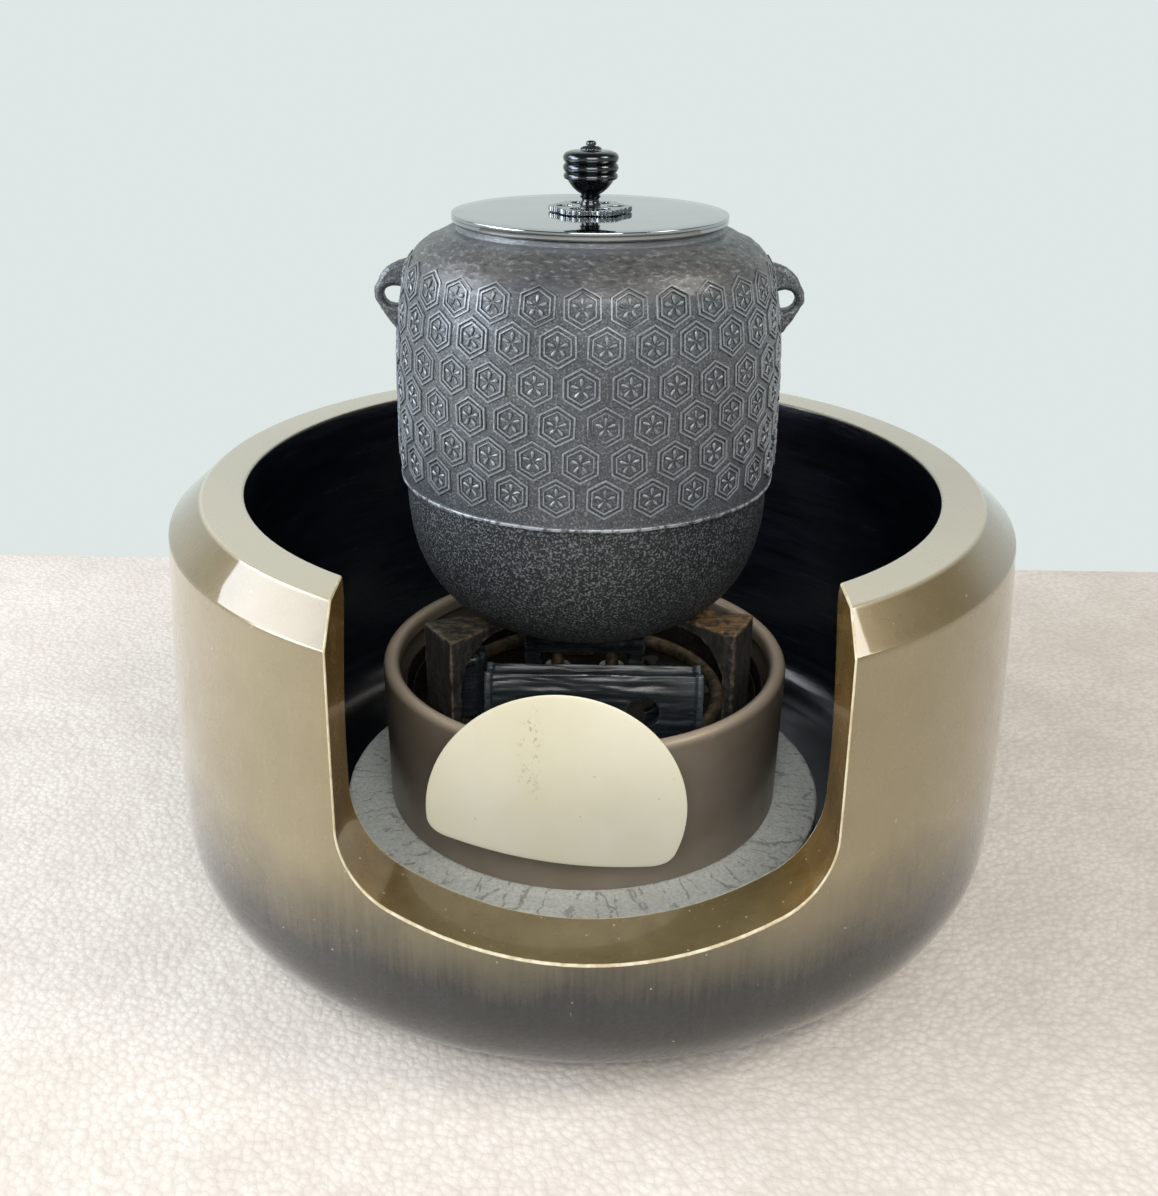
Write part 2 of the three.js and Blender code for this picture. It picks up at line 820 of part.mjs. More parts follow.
// A hollow split log over the element's loop: a bark front, a troughed top and two feet behind
function frontLog() {
  const bottom = elementZ + elementTubeR + seatGap;
  const backLow = logTop - logBackHigh;
  const section = outline([
    [logFrontY + logToe, bottom],
    [logFrontY + logBulge, bottom + logToeHigh],
    [logFrontY, logTop - logBulgeDrop],
    [logFrontY + logBulge, logTop - logEaveDrop],
    [logFrontY + logLip, logTop],
    [logFrontY + logToe + logToe, logTop - logTroughDrop],
    [logBackY - logLip, logTop - logTroughDrop],
    [logBackY - logBulge, logTop - logRidgeDrop],
    [logBackY, logTop - logEaveDrop],
    [logBackY, backLow],
    [logBackY - logFootThick, backLow],
    [logFrontY + logBark, logTop - logTroughDrop - logShell],
    [logFrontY + logBark, logTop - logBulgeDrop],
    [logFrontY + logBark + logBulge, bottom + logToeHigh],
    [logFrontY + logBark + logToe, bottom],
  ]);
  const feet = [-1, 1].map((side) => {
    const x = logX + side * logFootHalf;
    const foot = box(0, logFootWide, -logFootThick, 0, legFootBottom, backLow + logFootThick);
    return foot.translate(x - logFootWide / 2, logBackY, 0);
  });
  const log = join(alongX(section, logX - logLong / 2, logLong), ...feet);
  const hole = rod(logHoleR, 0, logDeep, 16).rotateX(Math.PI / 2);
  return cut(log, hole.translate(logHoleX, (logFrontY + logBackY + logDeep) / 2, logTop - logHoleDrop));
}

// An upright stub under the left arm: it stands over the element's loop on a foot inside it
function charcoalStub() {
  const bottom = elementZ + elementTubeR + seatGap;
  const footRadius = elementLoopR - elementTubeR - stubFootR - boreGap;
  const [x, y] = atFront(stubRadius, stubAngle);
  const [footX, footY] = atFront(footRadius, stubAngle);
  const points = [
    [0, bottom],
    [stubR - stubEdge, bottom],
    [stubR, bottom + stubEdge],
    [stubR, stubTop - stubEdge],
    [stubR - stubEdge, stubTop],
    [0, stubTop],
  ];
  const foot = rod(stubFootR, legFootBottom, bottom + stubFootR, 10).translate(footX, footY, 0);
  return join(turned(points, 12).translate(x, y, 0), foot);
}

// A half round log across the rear, arched underneath for the element's tails
function rearLog() {
  const bottom = legFootBottom;
  const section = new THREE.Shape();
  section.moveTo(-rearLogR, bottom);
  section.lineTo(rearLogR, bottom);
  section.absarc(0, rearLogTop - rearLogR, rearLogR, 0, Math.PI, false);
  const log = alongX(section, -rearLogLong / 2, rearLogLong);
  const archHalf = rearLogLong / 2 - rearLogEnd;
  const archTop = elementZ + elementTubeR + rearArchGap;
  const arch = box(-archHalf, archHalf, -rearLogR - cutPast, rearLogR + cutPast, bottom - cutPast, archTop);
  return cut(log, arch).translate(0, rearLogY, 0);
}

// The tile's outline in its own plane: a round cut off by a shallow arc, its corners rounded
function tileShape() {
  const start = Math.asin((tileCornerR - tileRoundRise) / tileR);
  const footX = tileChordHalf - tileCornerR;
  const sag = (x) => -tileSag * (1 - (x / tileChordHalf) ** 2);
  const shape = new THREE.Shape();
  const roundSteps = 22;
  for (let i = 0; i <= roundSteps; i += 1) {
    const angle = start + (i / roundSteps) * (Math.PI - 2 * start);
    const point = [tileR * Math.cos(angle), tileRoundRise + tileR * Math.sin(angle)];
    if (i === 0) shape.moveTo(...point);
    else shape.lineTo(...point);
  }
  const sideX = tileR * Math.cos(start);
  const cornerX = tileChordHalf + tileCornerR / 3;
  const corner = [0.4, 0.75].map((share) => {
    const [a, b, c] = [(1 - share) ** 2, 2 * share * (1 - share), share ** 2];
    return [a * sideX + b * cornerX + c * footX, a * tileCornerR + c * sag(footX)];
  });
  for (const [x, z] of corner) shape.lineTo(-x, z);
  const footSteps = 8;
  for (let i = 0; i <= footSteps; i += 1) {
    const x = -footX + (i / footSteps) * 2 * footX;
    shape.lineTo(x, sag(x));
  }
  for (const [x, z] of corner.reverse()) shape.lineTo(x, z);
  return shape;
}

function frontTile() {
  const plate = new THREE.ExtrudeGeometry(tileShape(), {
    depth: tileThick - 2 * tileEdge,
    bevelEnabled: true,
    bevelThickness: tileEdge,
    bevelSize: tileEdge,
    bevelOffset: -tileEdge,
    bevelSegments: 2,
  });
  return plate.rotateX(Math.PI / 2).translate(0, tileBackY - tileEdge, 0);
}

// A bent strip over the ring's lip, with a riveted pad on the tile's back
function tileHook() {
  const lipTop = ringTop + seatGap;
  const back = tileBackY + seatGap;
  const farEdge = Math.abs(tileX - unitX) + hookWide / 2;
  const inside = seatGap - Math.sqrt((ringLipR - 2 * lipRollR) ** 2 - farEdge ** 2);
  const strip = outline([
    [back, lipTop - hookPadHigh],
    [back, lipTop + hookSheet],
    [inside + hookSheet, lipTop + hookSheet],
    [inside + hookSheet, lipTop - hookDrop],
    [inside, lipTop - hookDrop],
    [inside, lipTop],
    [back + hookSheet, lipTop],
    [back + hookSheet, lipTop - hookPadHigh],
  ]);
  return alongX(strip, -hookWide / 2, hookWide);
}

// The kettle's outer profile from the bowl's bottom to the mouth
function kettleOuter() {
  return [
    ...bowlPoints(0, 9),
    [bowlR + seamLip, seamZ],
    [bowlR + seamLip, seamZ + seamLipHigh],
    [bodyR, seamZ + seamLipHigh],
    [bodyR, seamZ + bodyHigh],
    [bodyR - waistIn, seamZ + bodyHigh + waistRise],
    [shoulderR, seamZ + shoulderRise],
    ...shoulderCurve.map(([inwards, up]) => [shoulderR - inwards, seamZ + shoulderRise + up]),
    [collarR, seamZ + shoulderTopRise],
    [collarR, kettleTop],
  ];
}

// The same profile a wall's thickness inside, from the mouth down to the bowl's bottom
function kettleInner() {
  const curve = shoulderCurve.map(([inwards, up]) => [
    shoulderR - inwards - kettleWall * Math.SQRT1_2,
    seamZ + shoulderRise + up - kettleWall,
  ]);
  return [
    [mouthR, kettleTop],
    [mouthR, seamZ + shoulderTopRise - kettleWall],
    ...curve.reverse(),
    [shoulderR - kettleWall, seamZ + shoulderRise - kettleWall],
    [bodyR - kettleWall, seamZ + bodyHigh],
    ...bowlPoints(-kettleWall, 7).reverse(),
  ];
}

function kettleBody() {
  return turned([...kettleOuter(), ...kettleInner()], kettleSides);
}

// A cast loop on the kettle's side with a bud on its outer edge, for the lifting rings
function kettleLug(side) {
  const root = bodyR - lugRootIn;
  const out = bodyR + lugOut - lugNub;
  const shape = new THREE.Shape();
  shape.moveTo(root, -lugRootDrop);
  shape.lineTo(bodyR - lugNub, -lugRootDrop + lugEdge);
  shape.quadraticCurveTo(bodyR + lugOut / 2, -lugRootDrop + lugRootIn, out, -lugBellyDrop);
  shape.lineTo(out + lugNub, -lugNubHalf / 2);
  shape.lineTo(out + lugNub, lugNubHalf * 1.5);
  shape.lineTo(out, lugBrowHigh);
  shape.quadraticCurveTo(bodyR + lugOut / 2, lugRootHigh - lugNub, root, lugRootHigh);
  shape.lineTo(root, -lugRootDrop);
  const hole = new THREE.Path();
  const holeX = bodyR + lugHoleOut - lugHoleLong / 2;
  hole.absellipse(holeX, 0, lugHoleLong / 2, lugHoleHigh / 2, 0, 2 * Math.PI, true);
  shape.holes.push(hole);
  const plate = new THREE.ExtrudeGeometry(shape, {
    depth: lugWide - 2 * lugEdge,
    bevelEnabled: true,
    bevelThickness: lugEdge,
    bevelSize: lugEdge,
    bevelOffset: -lugEdge,
    bevelSegments: 1,
    curveSegments: 6,
  });
  plate.rotateX(Math.PI / 2).translate(0, lugWide / 2 - lugEdge, seamZ + lugRise);
  const around = kettleOuter().map(([r, z]) => [r > 0 ? r + seatGap : 0, z]);
  const lug = cut(plate, turned([...around, [0, kettleTop]], kettleSides));
  return side < 0 ? lug.rotateZ(Math.PI) : lug;
}

function kettleLid() {
  const inner = lidFlangeR - lidFlangeThick;
  const low = lidBottom - lidFlangeHigh;
  const profile = [
    [pinR + boreGap, lidBottom],
    [inner, lidBottom],
    [inner, low],
    [lidFlangeR - lidEdge, low],
    [lidFlangeR, low + lidFlangeLead],
    [lidFlangeR, lidBottom],
    [lidR, lidBottom],
    [lidR, lidTop - lidEdge],
    [lidR - lidEdge, lidTop],
    [pinR + boreGap, lidTop],
  ];
  return turnedRing(profile, 52);
}

// An openwork seat under the knob: six petals round a middle hole
function knobSeat() {
  const shape = new THREE.Shape();
  const steps = 48;
  for (let i = 0; i < steps; i += 1) {
    const angle = (i / steps) * 2 * Math.PI;
    const r = seatR - seatPetalDip * (1 - Math.abs(Math.cos(seatPetals * angle / 2)));
    const point = [r * Math.cos(angle), r * Math.sin(angle)];
    if (i === 0) shape.moveTo(...point);
    else shape.lineTo(...point);
  }
  for (let i = 0; i < seatPetals; i += 1) {
    const angle = (i / seatPetals) * 2 * Math.PI;
    const hole = new THREE.Path();
    hole.absellipse(
      seatHoleCircleR * Math.cos(angle),
      seatHoleCircleR * Math.sin(angle),
      seatHoleLong / 2,
      seatHoleR,
      0,
      2 * Math.PI,
      true,
      angle,
    );
    shape.holes.push(hole);
  }
  const middle = new THREE.Path();
  middle.absarc(0, 0, pinR + boreGap, 0, 2 * Math.PI, true);
  shape.holes.push(middle);
  const plate = new THREE.ExtrudeGeometry(shape, { depth: seatThick, bevelEnabled: false, curveSegments: 5 });
  return plate.translate(0, 0, seatBottom);
}

// Beads over a cup on a short stem, bored through for the pin
function lidKnob() {
  const bore = pinR + boreGap;
  const top = knobBottom + knobHigh;
  const cupTop = top - knobCrownHigh - knobBeads * knobBeadHigh;
  const cupLow = knobBottom + knobCupRise;
  const cupHigh = cupTop - cupLow;
  const points = [
    [bore, knobBottom],
    [knobFootR, knobBottom],
    [knobFootR, knobBottom + knobFootHigh],
    [knobNeckR, knobBottom + knobNeckHigh],
    [knobFootR, cupLow],
    [knobFootR + (knobR - knobFootR) * 0.4, cupLow + cupHigh * 0.3],
    [knobFootR + (knobR - knobFootR) * 0.75, cupLow + cupHigh * 0.7],
    [knobR - knobBeadDip, cupTop],
  ];
  for (let bead = 0; bead < knobBeads; bead += 1) {
    const z = cupTop + bead * knobBeadHigh;
    points.push([knobR, z + knobBeadHigh * 0.3], [knobR, z + knobBeadHigh * 0.7]);
    if (bead < knobBeads - 1) points.push([knobR - knobBeadDip, z + knobBeadHigh]);
  }
  points.push([knobR - 2 * knobBeadDip, top - knobCrownHigh / 2], [knobCrownR, top], [bore, top]);
  return turnedRing(points, 24);
}

function knobRosette() {
  const bottom = knobBottom + knobHigh + seatGap;
  return tube(rosetteR, pinR + boreGap, bottom, bottom + rosetteHigh, 16);
}

function knobPin() {
  const headTop = lidBottom - seatGap;
  const buttonBottom = knobBottom + knobHigh + 2 * seatGap + rosetteHigh;
  const profile = [
    [0, headTop - pinHeadHigh],
    [pinHeadR, headTop - pinHeadHigh],
    [pinHeadR, headTop],
    [pinR, headTop],
    [pinR, buttonBottom],
    [pinButtonR, buttonBottom],
    [pinButtonR, buttonBottom + pinButtonHigh - pinButtonEdge],
    [pinButtonR - pinButtonEdge, buttonBottom + pinButtonHigh],
    [0, buttonBottom + pinButtonHigh],
  ];
  return turned(profile, 16);
}

function tileRivets() {
  const zMiddle = ringTop + seatGap - hookPadHigh + tileRivetRise;
  const back = tileBackY + seatGap + hookSheet + seatGap;
  return [-1, 1].map((side) => (
    rod(tileRivetR, 0, tileRivetHigh, 10)
      .rotateX(-Math.PI / 2)
      .translate(side * tileRivetSpread / 2, back, zMiddle)
  ));
}

const lacquer = finish('lacquer', 0x8f7f66, 0.25, 0.3);
const rubber = finish('rubber', 0x1c1c1c, 0.8, 0);
const mineral = finish('mineral', 0xc9cfcb, 0.9, 0);
const painted = finish('painted', 0x7a6a5d, 0.45, 0.2);
const steel = finish('steel', 0x9a9a98, 0.35, 0.9);
const sheath = finish('sheath', 0x8b7a66, 0.5, 0.6);
const porcelain = finish('porcelain', 0xd8d0c0, 0.5, 0);
const charcoal = finish('charcoal', 0x23272a, 0.5, 0);
const rusted = finish('rusted', 0x4a4036, 0.75, 0.4);
const clay = finish('clay', 0xd9d2b4, 0.55, 0);
const castIron = finish('cast_iron', 0x3a3b3d, 0.55, 0.5);
const blackBronze = finish('black_bronze', 0x1a1b1d, 0.12, 0.8);
const wire = finish('wire', 0xb8b0a0, 0.6, 0);

const group = new THREE.Group();

function add(parent, name, geometry, material) {
  const mesh = new THREE.Mesh(closed(geometry), material);
  mesh.name = name;
  parent.add(mesh);
  return mesh;
}

// Copies of one piece, numbered from 1
function addEach(parent, name, geometries, material) {
  return geometries.map((geometry, i) => add(parent, `${name}_${i + 1}`, geometry, material));
}

add(group, 'casing_shell', casingShell(), lacquer);
add(group, 'pad_front', pad(0), rubber);
add(group, 'pad_right', pad(120), rubber);
add(group, 'pad_left', pad(240), rubber);
add(group, 'cord_bush', cordBush(), rubber);

// Everything on the board shares one upright axis
const unit = new THREE.Group();
unit.position.x = unitX;
group.add(unit);

add(unit, 'insulation_board', insulationBoard(), mineral);
add(unit, 'guard_ring', guardRing(), painted);
add(unit, 'base_plate', basePlate(), steel);
add(unit, 'cord_gland', cordGland(), rubber);
add(unit, 'cord_clamp', cordClamp(), porcelain);
addEach(unit, 'pan_spacer', panSpacers(), steel);
addEach(unit, 'tie_bolt', tieBolts(), steel);
addEach(unit, 'tie_nut', tieNuts(), steel);
add(unit, 'reflector_pan', reflectorPan(), steel);
add(unit, 'heat_screen', heatScreen(), steel);
add(unit, 'terminal_block', terminalBlock(), porcelain);
addEach(unit, 'terminal_screw', terminalScrews(), steel);
add(unit, 'thermal_cutout', thermalCutout(), steel);
add(unit, 'element_tube', elementTube(), sheath);
addEach(unit, 'element_bush', elementBushes(), porcelain);
addEach(unit, 'element_clip', elementClips(), steel);
add(unit, 'lead_left', lead(-1), wire);
add(unit, 'lead_right', lead(1), wire);
addEach(unit, 'leg_rivet', legRivets(), steel);
const legNames = ['trivet_leg_left', 'trivet_leg_right', 'trivet_leg_rear'];
legAngles().forEach((angle, i) => {
  const leg = add(unit, legNames[i], trivetLeg(), rusted);
  leg.rotation.z = angle * deg;
});
add(unit, 'charcoal_front', frontLog(), charcoal);
add(unit, 'charcoal_stub', charcoalStub(), charcoal);
add(unit, 'charcoal_rear', rearLog(), charcoal);

// The tile hangs a little askew on the ring's lip
const tile = new THREE.Group();
tile.position.set(tileX, 0, tileZ);
tile.rotation.y = tileTilt * deg;
group.add(tile);
add(tile, 'front_tile', frontTile(), clay);
const hanging = new THREE.Group();
hanging.position.x = tileX;
group.add(hanging);
add(hanging, 'tile_hook', tileHook(), steel);
addEach(hanging, 'tile_rivet', tileRivets(), steel);

add(unit, 'kettle_body', kettleBody(), castIron);
add(unit, 'kettle_lug_left', kettleLug(-1), castIron);
add(unit, 'kettle_lug_right', kettleLug(1), castIron);
add(unit, 'kettle_lid', kettleLid(), blackBronze);
add(unit, 'knob_seat', knobSeat(), blackBronze);
add(unit, 'lid_knob', lidKnob(), blackBronze);
add(unit, 'knob_rosette', knobRosette(), blackBronze);
add(unit, 'knob_pin', knobPin(), blackBronze);

export default group;
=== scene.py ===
# The looks of the electric tea brazier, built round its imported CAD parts.
# Sizes are in millimetres here and in metres in Blender; +Z up, the window faces -Y.
import math
import random

import bmesh
import bpy
import numpy as np
from mathutils import Matrix, Vector, noise

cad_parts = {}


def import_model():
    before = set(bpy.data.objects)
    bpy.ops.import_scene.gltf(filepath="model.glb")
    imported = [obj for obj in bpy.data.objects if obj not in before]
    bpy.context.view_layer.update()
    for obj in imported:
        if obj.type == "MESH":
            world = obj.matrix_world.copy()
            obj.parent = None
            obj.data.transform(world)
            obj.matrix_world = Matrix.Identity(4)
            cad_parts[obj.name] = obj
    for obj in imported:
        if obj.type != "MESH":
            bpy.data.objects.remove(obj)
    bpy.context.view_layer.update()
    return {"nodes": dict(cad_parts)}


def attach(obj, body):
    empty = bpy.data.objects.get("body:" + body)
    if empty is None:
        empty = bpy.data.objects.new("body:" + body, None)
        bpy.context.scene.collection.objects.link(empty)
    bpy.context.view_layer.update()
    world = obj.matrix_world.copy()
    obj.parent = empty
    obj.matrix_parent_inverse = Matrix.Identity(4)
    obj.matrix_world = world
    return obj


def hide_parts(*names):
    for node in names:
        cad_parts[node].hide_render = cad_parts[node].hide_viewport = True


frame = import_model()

MM = 0.001
UNIT_X = -2.4
KNEE_Z = 39.3
RIM_Z = 186
FLOOR_Z = 20
CASING_R = 190
HOLLOW_R = 163
SEAM_Z = 187.4


# Colour and nodes

def lin(code):
    """The linear colour of an sRGB hex code."""
    parts = [int(code[i:i + 2], 16) / 255 for i in (1, 3, 5)]
    return [c / 12.92 if c <= 0.04045 else ((c + 0.055) / 1.055) ** 2.4 for c in parts] + [1.0]


def feed(tree, socket, value):
    """Links a socket to another or sets its own value, where a hex code stands for a colour."""
    if isinstance(value, bpy.types.NodeSocket):
        tree.links.new(value, socket)
    else:
        socket.default_value = lin(value) if isinstance(value, str) else value


def node(tree, kind, inputs=(), out=None, **settings):
    """Adds a node with its settings and links and gives its output; inputs go in order, or by name or number."""
    made = tree.nodes.new("ShaderNode" + kind)
    for key, value in settings.items():
        setattr(made, key, value)
    for key, value in inputs.items() if isinstance(inputs, dict) else enumerate(inputs):
        feed(tree, made.inputs[key], value)
    if out is not None:
        return made.outputs[out]
    return next((socket for socket in made.outputs if socket.enabled), None)


def pattern(tree, kind, size_mm, stretch=(1, 1, 1), **inputs):
    """A texture whose marks are about that many millimetres across, in the object's own space."""
    where = node(tree, "TexCoord", out="Object")
    inputs["Vector"] = node(tree, "Mapping", {"Vector": where, "Scale": [1 / (size_mm * MM * s) for s in stretch]})
    return node(tree, kind, {**inputs, "Scale": 1.0})


def place_mm(tree, axis):
    """How far along an axis a point lies, in millimetres."""
    along = node(tree, "SeparateXYZ", [node(tree, "TexCoord", out="Object")], axis)
    return node(tree, "Math", [along, 1 / MM], operation="MULTIPLY")


def band(tree, value, low, high, soft):
    """One inside a span of a value and zero outside it, with soft ends."""
    rise = node(tree, "MapRange", [value, low - soft, low])
    fall = node(tree, "MapRange", [value, high + soft, high])
    return node(tree, "Math", [rise, fall], operation="MULTIPLY")


def material(name, make, **constants):
    """A material whose shader takes constants on its own sockets and links from make(tree)."""
    made = bpy.data.materials.new(name)
    made.use_nodes = True
    tree = made.node_tree
    shader = tree.nodes["Principled BSDF"]
    for key, value in constants.items():
        shader.inputs[key.replace("_", " ")].default_value = value
    for key, value in make(tree).items():
        feed(tree, shader.inputs[key], value)
    return made


# Mesh building

def rounded(corners, steps=4, closed=False):
    """A line of (x, y, radius) corners with each corner rounded."""
    line = []
    count = len(corners)
    for i, corner in enumerate(corners):
        here = Vector(corner[:2])
        radius = corner[2] if len(corner) > 2 else 0
        if radius == 0 or (not closed and i in (0, count - 1)):
            line.append(tuple(here))
            continue
        before = Vector(corners[i - 1][:2]) - here
        after = Vector(corners[(i + 1) % count][:2]) - here
        half = before.angle(after) / 2
        reach = min(radius / math.tan(half), before.length * 0.48, after.length * 0.48)
        start = here + before.normalized() * reach
        end = here + after.normalized() * reach
        for k in range(steps + 1):
            t = k / steps
            line.append(tuple(start * (1 - t) ** 2 + here * (2 * t * (1 - t)) + end * t * t))
    return line


def smooth_line(points, steps):
    """A Catmull-Rom line through points."""
    line = []
    ends = [points[0]] + list(points) + [points[-1]]
    for i in range(1, len(ends) - 2):
        a, b, c, d = (Vector(p) for p in ends[i - 1:i + 3])
        for k in range(steps):
            t = k / steps
            line.append(tuple(0.5 * (2 * b + (c - a) * t + (2 * a - 5 * b + 4 * c - d) * t * t
                                     + (3 * b - a - 3 * c + d) * t ** 3)))
    line.append(tuple(points[-1]))
    return line


def deselect():
    """Leaves edit mode with nothing selected, so the next operator acts on its own piece alone."""
    if bpy.context.mode != "OBJECT":
        bpy.ops.object.mode_set(mode="OBJECT")
    bpy.ops.object.select_all(action="DESELECT")


def hold(obj):
    """Selects one piece and makes it the active one."""
    deselect()
    obj.select_set(True)
    bpy.context.view_layer.objects.active = obj


def turned(name, profile, sides, x=UNIT_X, start=0.0, sweep=360.0):
    """A shape spun about an upright axis from (radius, height) points in millimetres."""
    deselect()
    bpy.ops.mesh.primitive_plane_add(size=0.01, enter_editmode=True)
    bpy.ops.mesh.merge(type="CENTER")
    turn = Matrix.Rotation(math.radians(start), 3, "Z")
    before = Vector()
    for i, (r, z) in enumerate(profile):
        here = turn @ Vector((0, -r * MM, 0)) + Vector((x * MM, 0, z * MM))
        if i == 0:
            bpy.ops.transform.translate(value=here)
        else:
            bpy.ops.mesh.extrude_region_move(TRANSFORM_OT_translate={"value": here - before})
        before = here
    bpy.ops.mesh.select_all(action="SELECT")
    bpy.ops.mesh.spin(steps=sides, angle=math.radians(sweep), center=(x * MM, 0, 0), axis=(0, 0, 1))
    bpy.ops.mesh.select_all(action="SELECT")
    bpy.ops.mesh.remove_doubles(threshold=2e-6)
    if sweep < 360:
        bpy.ops.mesh.select_all(action="DESELECT")
        bpy.ops.mesh.select_non_manifold()
        bpy.ops.mesh.fill()
        bpy.ops.mesh.select_all(action="SELECT")
    bpy.ops.mesh.normals_make_consistent(inside=False)
    deselect()
    obj = bpy.context.view_layer.objects.active
    obj.name = obj.data.name = name
    return obj


def drilled(obj, radius, low, high, side_x=0.0, side_z=0.0, sides=48):
    """Cuts a round hole along Y between two depths."""
    deselect()
    middle = (side_x * MM, (low + high) / 2 * MM, side_z * MM)
    bpy.ops.mesh.primitive_cylinder_add(vertices=sides, radius=radius * MM, depth=(high - low) * MM,
                                        location=middle, rotation=(math.pi / 2, 0, 0))
    drill = bpy.context.object
    hole = obj.modifiers.new("hole", "BOOLEAN")
    hole.object = drill
    hole.operation = "DIFFERENCE"
    hole.solver = "EXACT"
    apply_all(obj)
    bpy.data.objects.remove(drill)
    return obj


def apply_all(obj):
    """Applies a piece's modifiers to its mesh."""
    hold(obj)
    for modifier in list(obj.modifiers):
        bpy.ops.object.modifier_apply(modifier=modifier.name)
    deselect()


def done(obj, body, *nodes, materials=(), angle=35, slot=None):
    """Gives a piece its materials, its shading and the body that it rides on."""
    for made in materials:
        obj.data.materials.append(MAT[made])
    hold(obj)
    bpy.ops.object.shade_smooth_by_angle(angle=math.radians(angle))
    deselect()
    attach(obj, body)
    if nodes:
        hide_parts(*nodes)
    return obj


def cast(name, node_name, voxel, smoothing, relief=None):
    """A copy of a CAD node remeshed finely and softened, as a cast or rubbed shape is."""
    mesh = frame["nodes"][node_name].data.copy()
    mesh.name = name
    mesh.materials.clear()
    obj = bpy.data.objects.new(name, mesh)
    bpy.context.scene.collection.objects.link(obj)
    hold(obj)
    bpy.ops.object.mode_set(mode="EDIT")
    bpy.ops.mesh.select_all(action="SELECT")
    bpy.ops.mesh.remove_doubles(threshold=1e-6)
    deselect()
    remesh = obj.modifiers.new("remesh", "REMESH")
    remesh.mode = "VOXEL"
    remesh.voxel_size = voxel * MM
    soften = obj.modifiers.new("soften", "SMOOTH")
    soften.factor = 0.5
    soften.iterations = smoothing
    apply_all(obj)
    relieve(obj, relief)
    mark_edge_wear_and_sheen(obj)
    return obj


def relieve(obj, relief):
    """Moves each point along its normal by relief(point in mm, normal) millimetres."""
    if relief is None:
        return
    shifts = [v.co + v.normal * (relief(v.co / MM, v.normal) * MM) for v in obj.data.vertices]
    for v, co in zip(obj.data.vertices, shifts):
        v.co = co
    obj.data.update()


def fbm(point, size_mm, octaves=3, stretch=(1, 1, 1)):
    """Fractal noise of about -1 to 1 whose marks are that many millimetres across."""
    p = Vector((point[0] / stretch[0], point[1] / stretch[1], point[2] / stretch[2])) / size_mm
    return noise.fractal(p, 1.0, 2.0, octaves)


def mark_edge_wear_and_sheen(obj, rounds=6):
    """Stores how far each point stands out from those around it, in millimetres, for edges paler from rubbing and
    from painted highlights.
    """
    mesh = obj.data
    edges = np.array(mesh.edge_keys)
    place = np.empty(len(mesh.vertices) * 3)
    outward = np.empty(len(mesh.vertices) * 3)
    mesh.vertices.foreach_get("co", place)
    mesh.vertices.foreach_get("normal", outward)
    place, outward = place.reshape(-1, 3), outward.reshape(-1, 3)
    ends = np.concatenate((edges[:, 0], edges[:, 1]))
    others = np.concatenate((edges[:, 1], edges[:, 0]))
    count = np.bincount(ends, minlength=len(place))[:, None]
    middle = place.copy()
    for _ in range(rounds):
        middle = np.stack([np.bincount(ends, middle[others, i], len(place)) for i in range(3)], 1) / count
    wear = mesh.attributes.new("stands_out", "FLOAT", "POINT")
    wear.data.foreach_set("value", (((place - middle) * outward).sum(1) / MM).astype(np.float32))


# Materials

def lacquer_outer(tree):
    """Bronze brown lacquer that fades softly to dark grey near the floor."""
    streaks = pattern(tree, "TexNoise", 1.6, (1, 1, 18), Detail=4.0, Roughness=0.6)
    clouds = pattern(tree, "TexNoise", 45, Detail=4.0, Roughness=0.55)
    level = place_mm(tree, "Z")
    share = node(tree, "Math", [streaks, 14.0], operation="MULTIPLY")
    shift = node(tree, "Math", [share, node(tree, "Math", [clouds, 24.0], operation="MULTIPLY")], operation="ADD")
    total = node(tree, "Math", [level, node(tree, "Math", [shift, 19.0], operation="SUBTRACT")], operation="ADD")
    fade = node(tree, "MapRange", [total, 48.0, 92.0])
    share = node(tree, "MapRange", [clouds, 0.35, 0.65])
    pearl = node(tree, "Mix", {0: share, 6: "#7A6E50", 7: "#887B5D"}, data_type="RGBA")
    share = node(tree, "MapRange", [streaks, 0.3, 0.7])
    upper = node(tree, "Mix", {0: share, 6: pearl, 7: "#807457"}, data_type="RGBA")
    lower = node(tree, "Mix", {0: share, 6: "#171818", 7: "#222323"}, data_type="RGBA")
    colour = node(tree, "Mix", {0: fade, 6: lower, 7: upper}, data_type="RGBA")
    share = node(tree, "MapRange", [level, 171.5, 175.0, 0.0, 0.55])
    colour = node(tree, "Mix", {0: share, 6: colour, 7: "#5C4E31"}, data_type="RGBA")
    share = node(tree, "MapRange", [level, 184.8, 185.9])
    colour = node(tree, "Mix", {0: share, 6: colour, 7: "#ACA48E"}, data_type="RGBA")
    specks = node(tree, "MapRange", [pattern(tree, "TexVoronoi", 9.0), 0.05, 0.03])
    share = node(tree, "Math", [specks, 0.5], operation="MULTIPLY")
    colour = node(tree, "Mix", {0: share, 6: colour, 7: "#D6CFBA"}, data_type="RGBA")
    marks = pattern(tree, "TexNoise", 4.5, (1, 1, 3), Detail=5.0, Roughness=0.7)
    scuffs = node(tree, "MapRange", [marks, 0.69, 0.74])
    share = node(tree, "Math", [scuffs, 0.5], operation="MULTIPLY")
    colour = node(tree, "Mix", {0: share, 6: colour, 7: "#DAD5C6"}, data_type="RGBA")
    dust = pattern(tree, "TexNoise", 18, Detail=6.0, Roughness=0.7)
    rough = node(tree, "MapRange", [dust, 0.35, 0.75, 0.22, 0.34])
    metal = node(tree, "MapRange", [fade, 0.0, 1.0, 0.0, 0.22])
    marks = pattern(tree, "TexNoise", 30, Detail=2.0, Roughness=0.55)
    ripple = node(tree, "Bump", {"Strength": 0.5, "Distance": 0.2 * MM, "Height": marks})
    return {"Base Color": colour, "Roughness": rough, "Metallic": metal, "Normal": ripple}


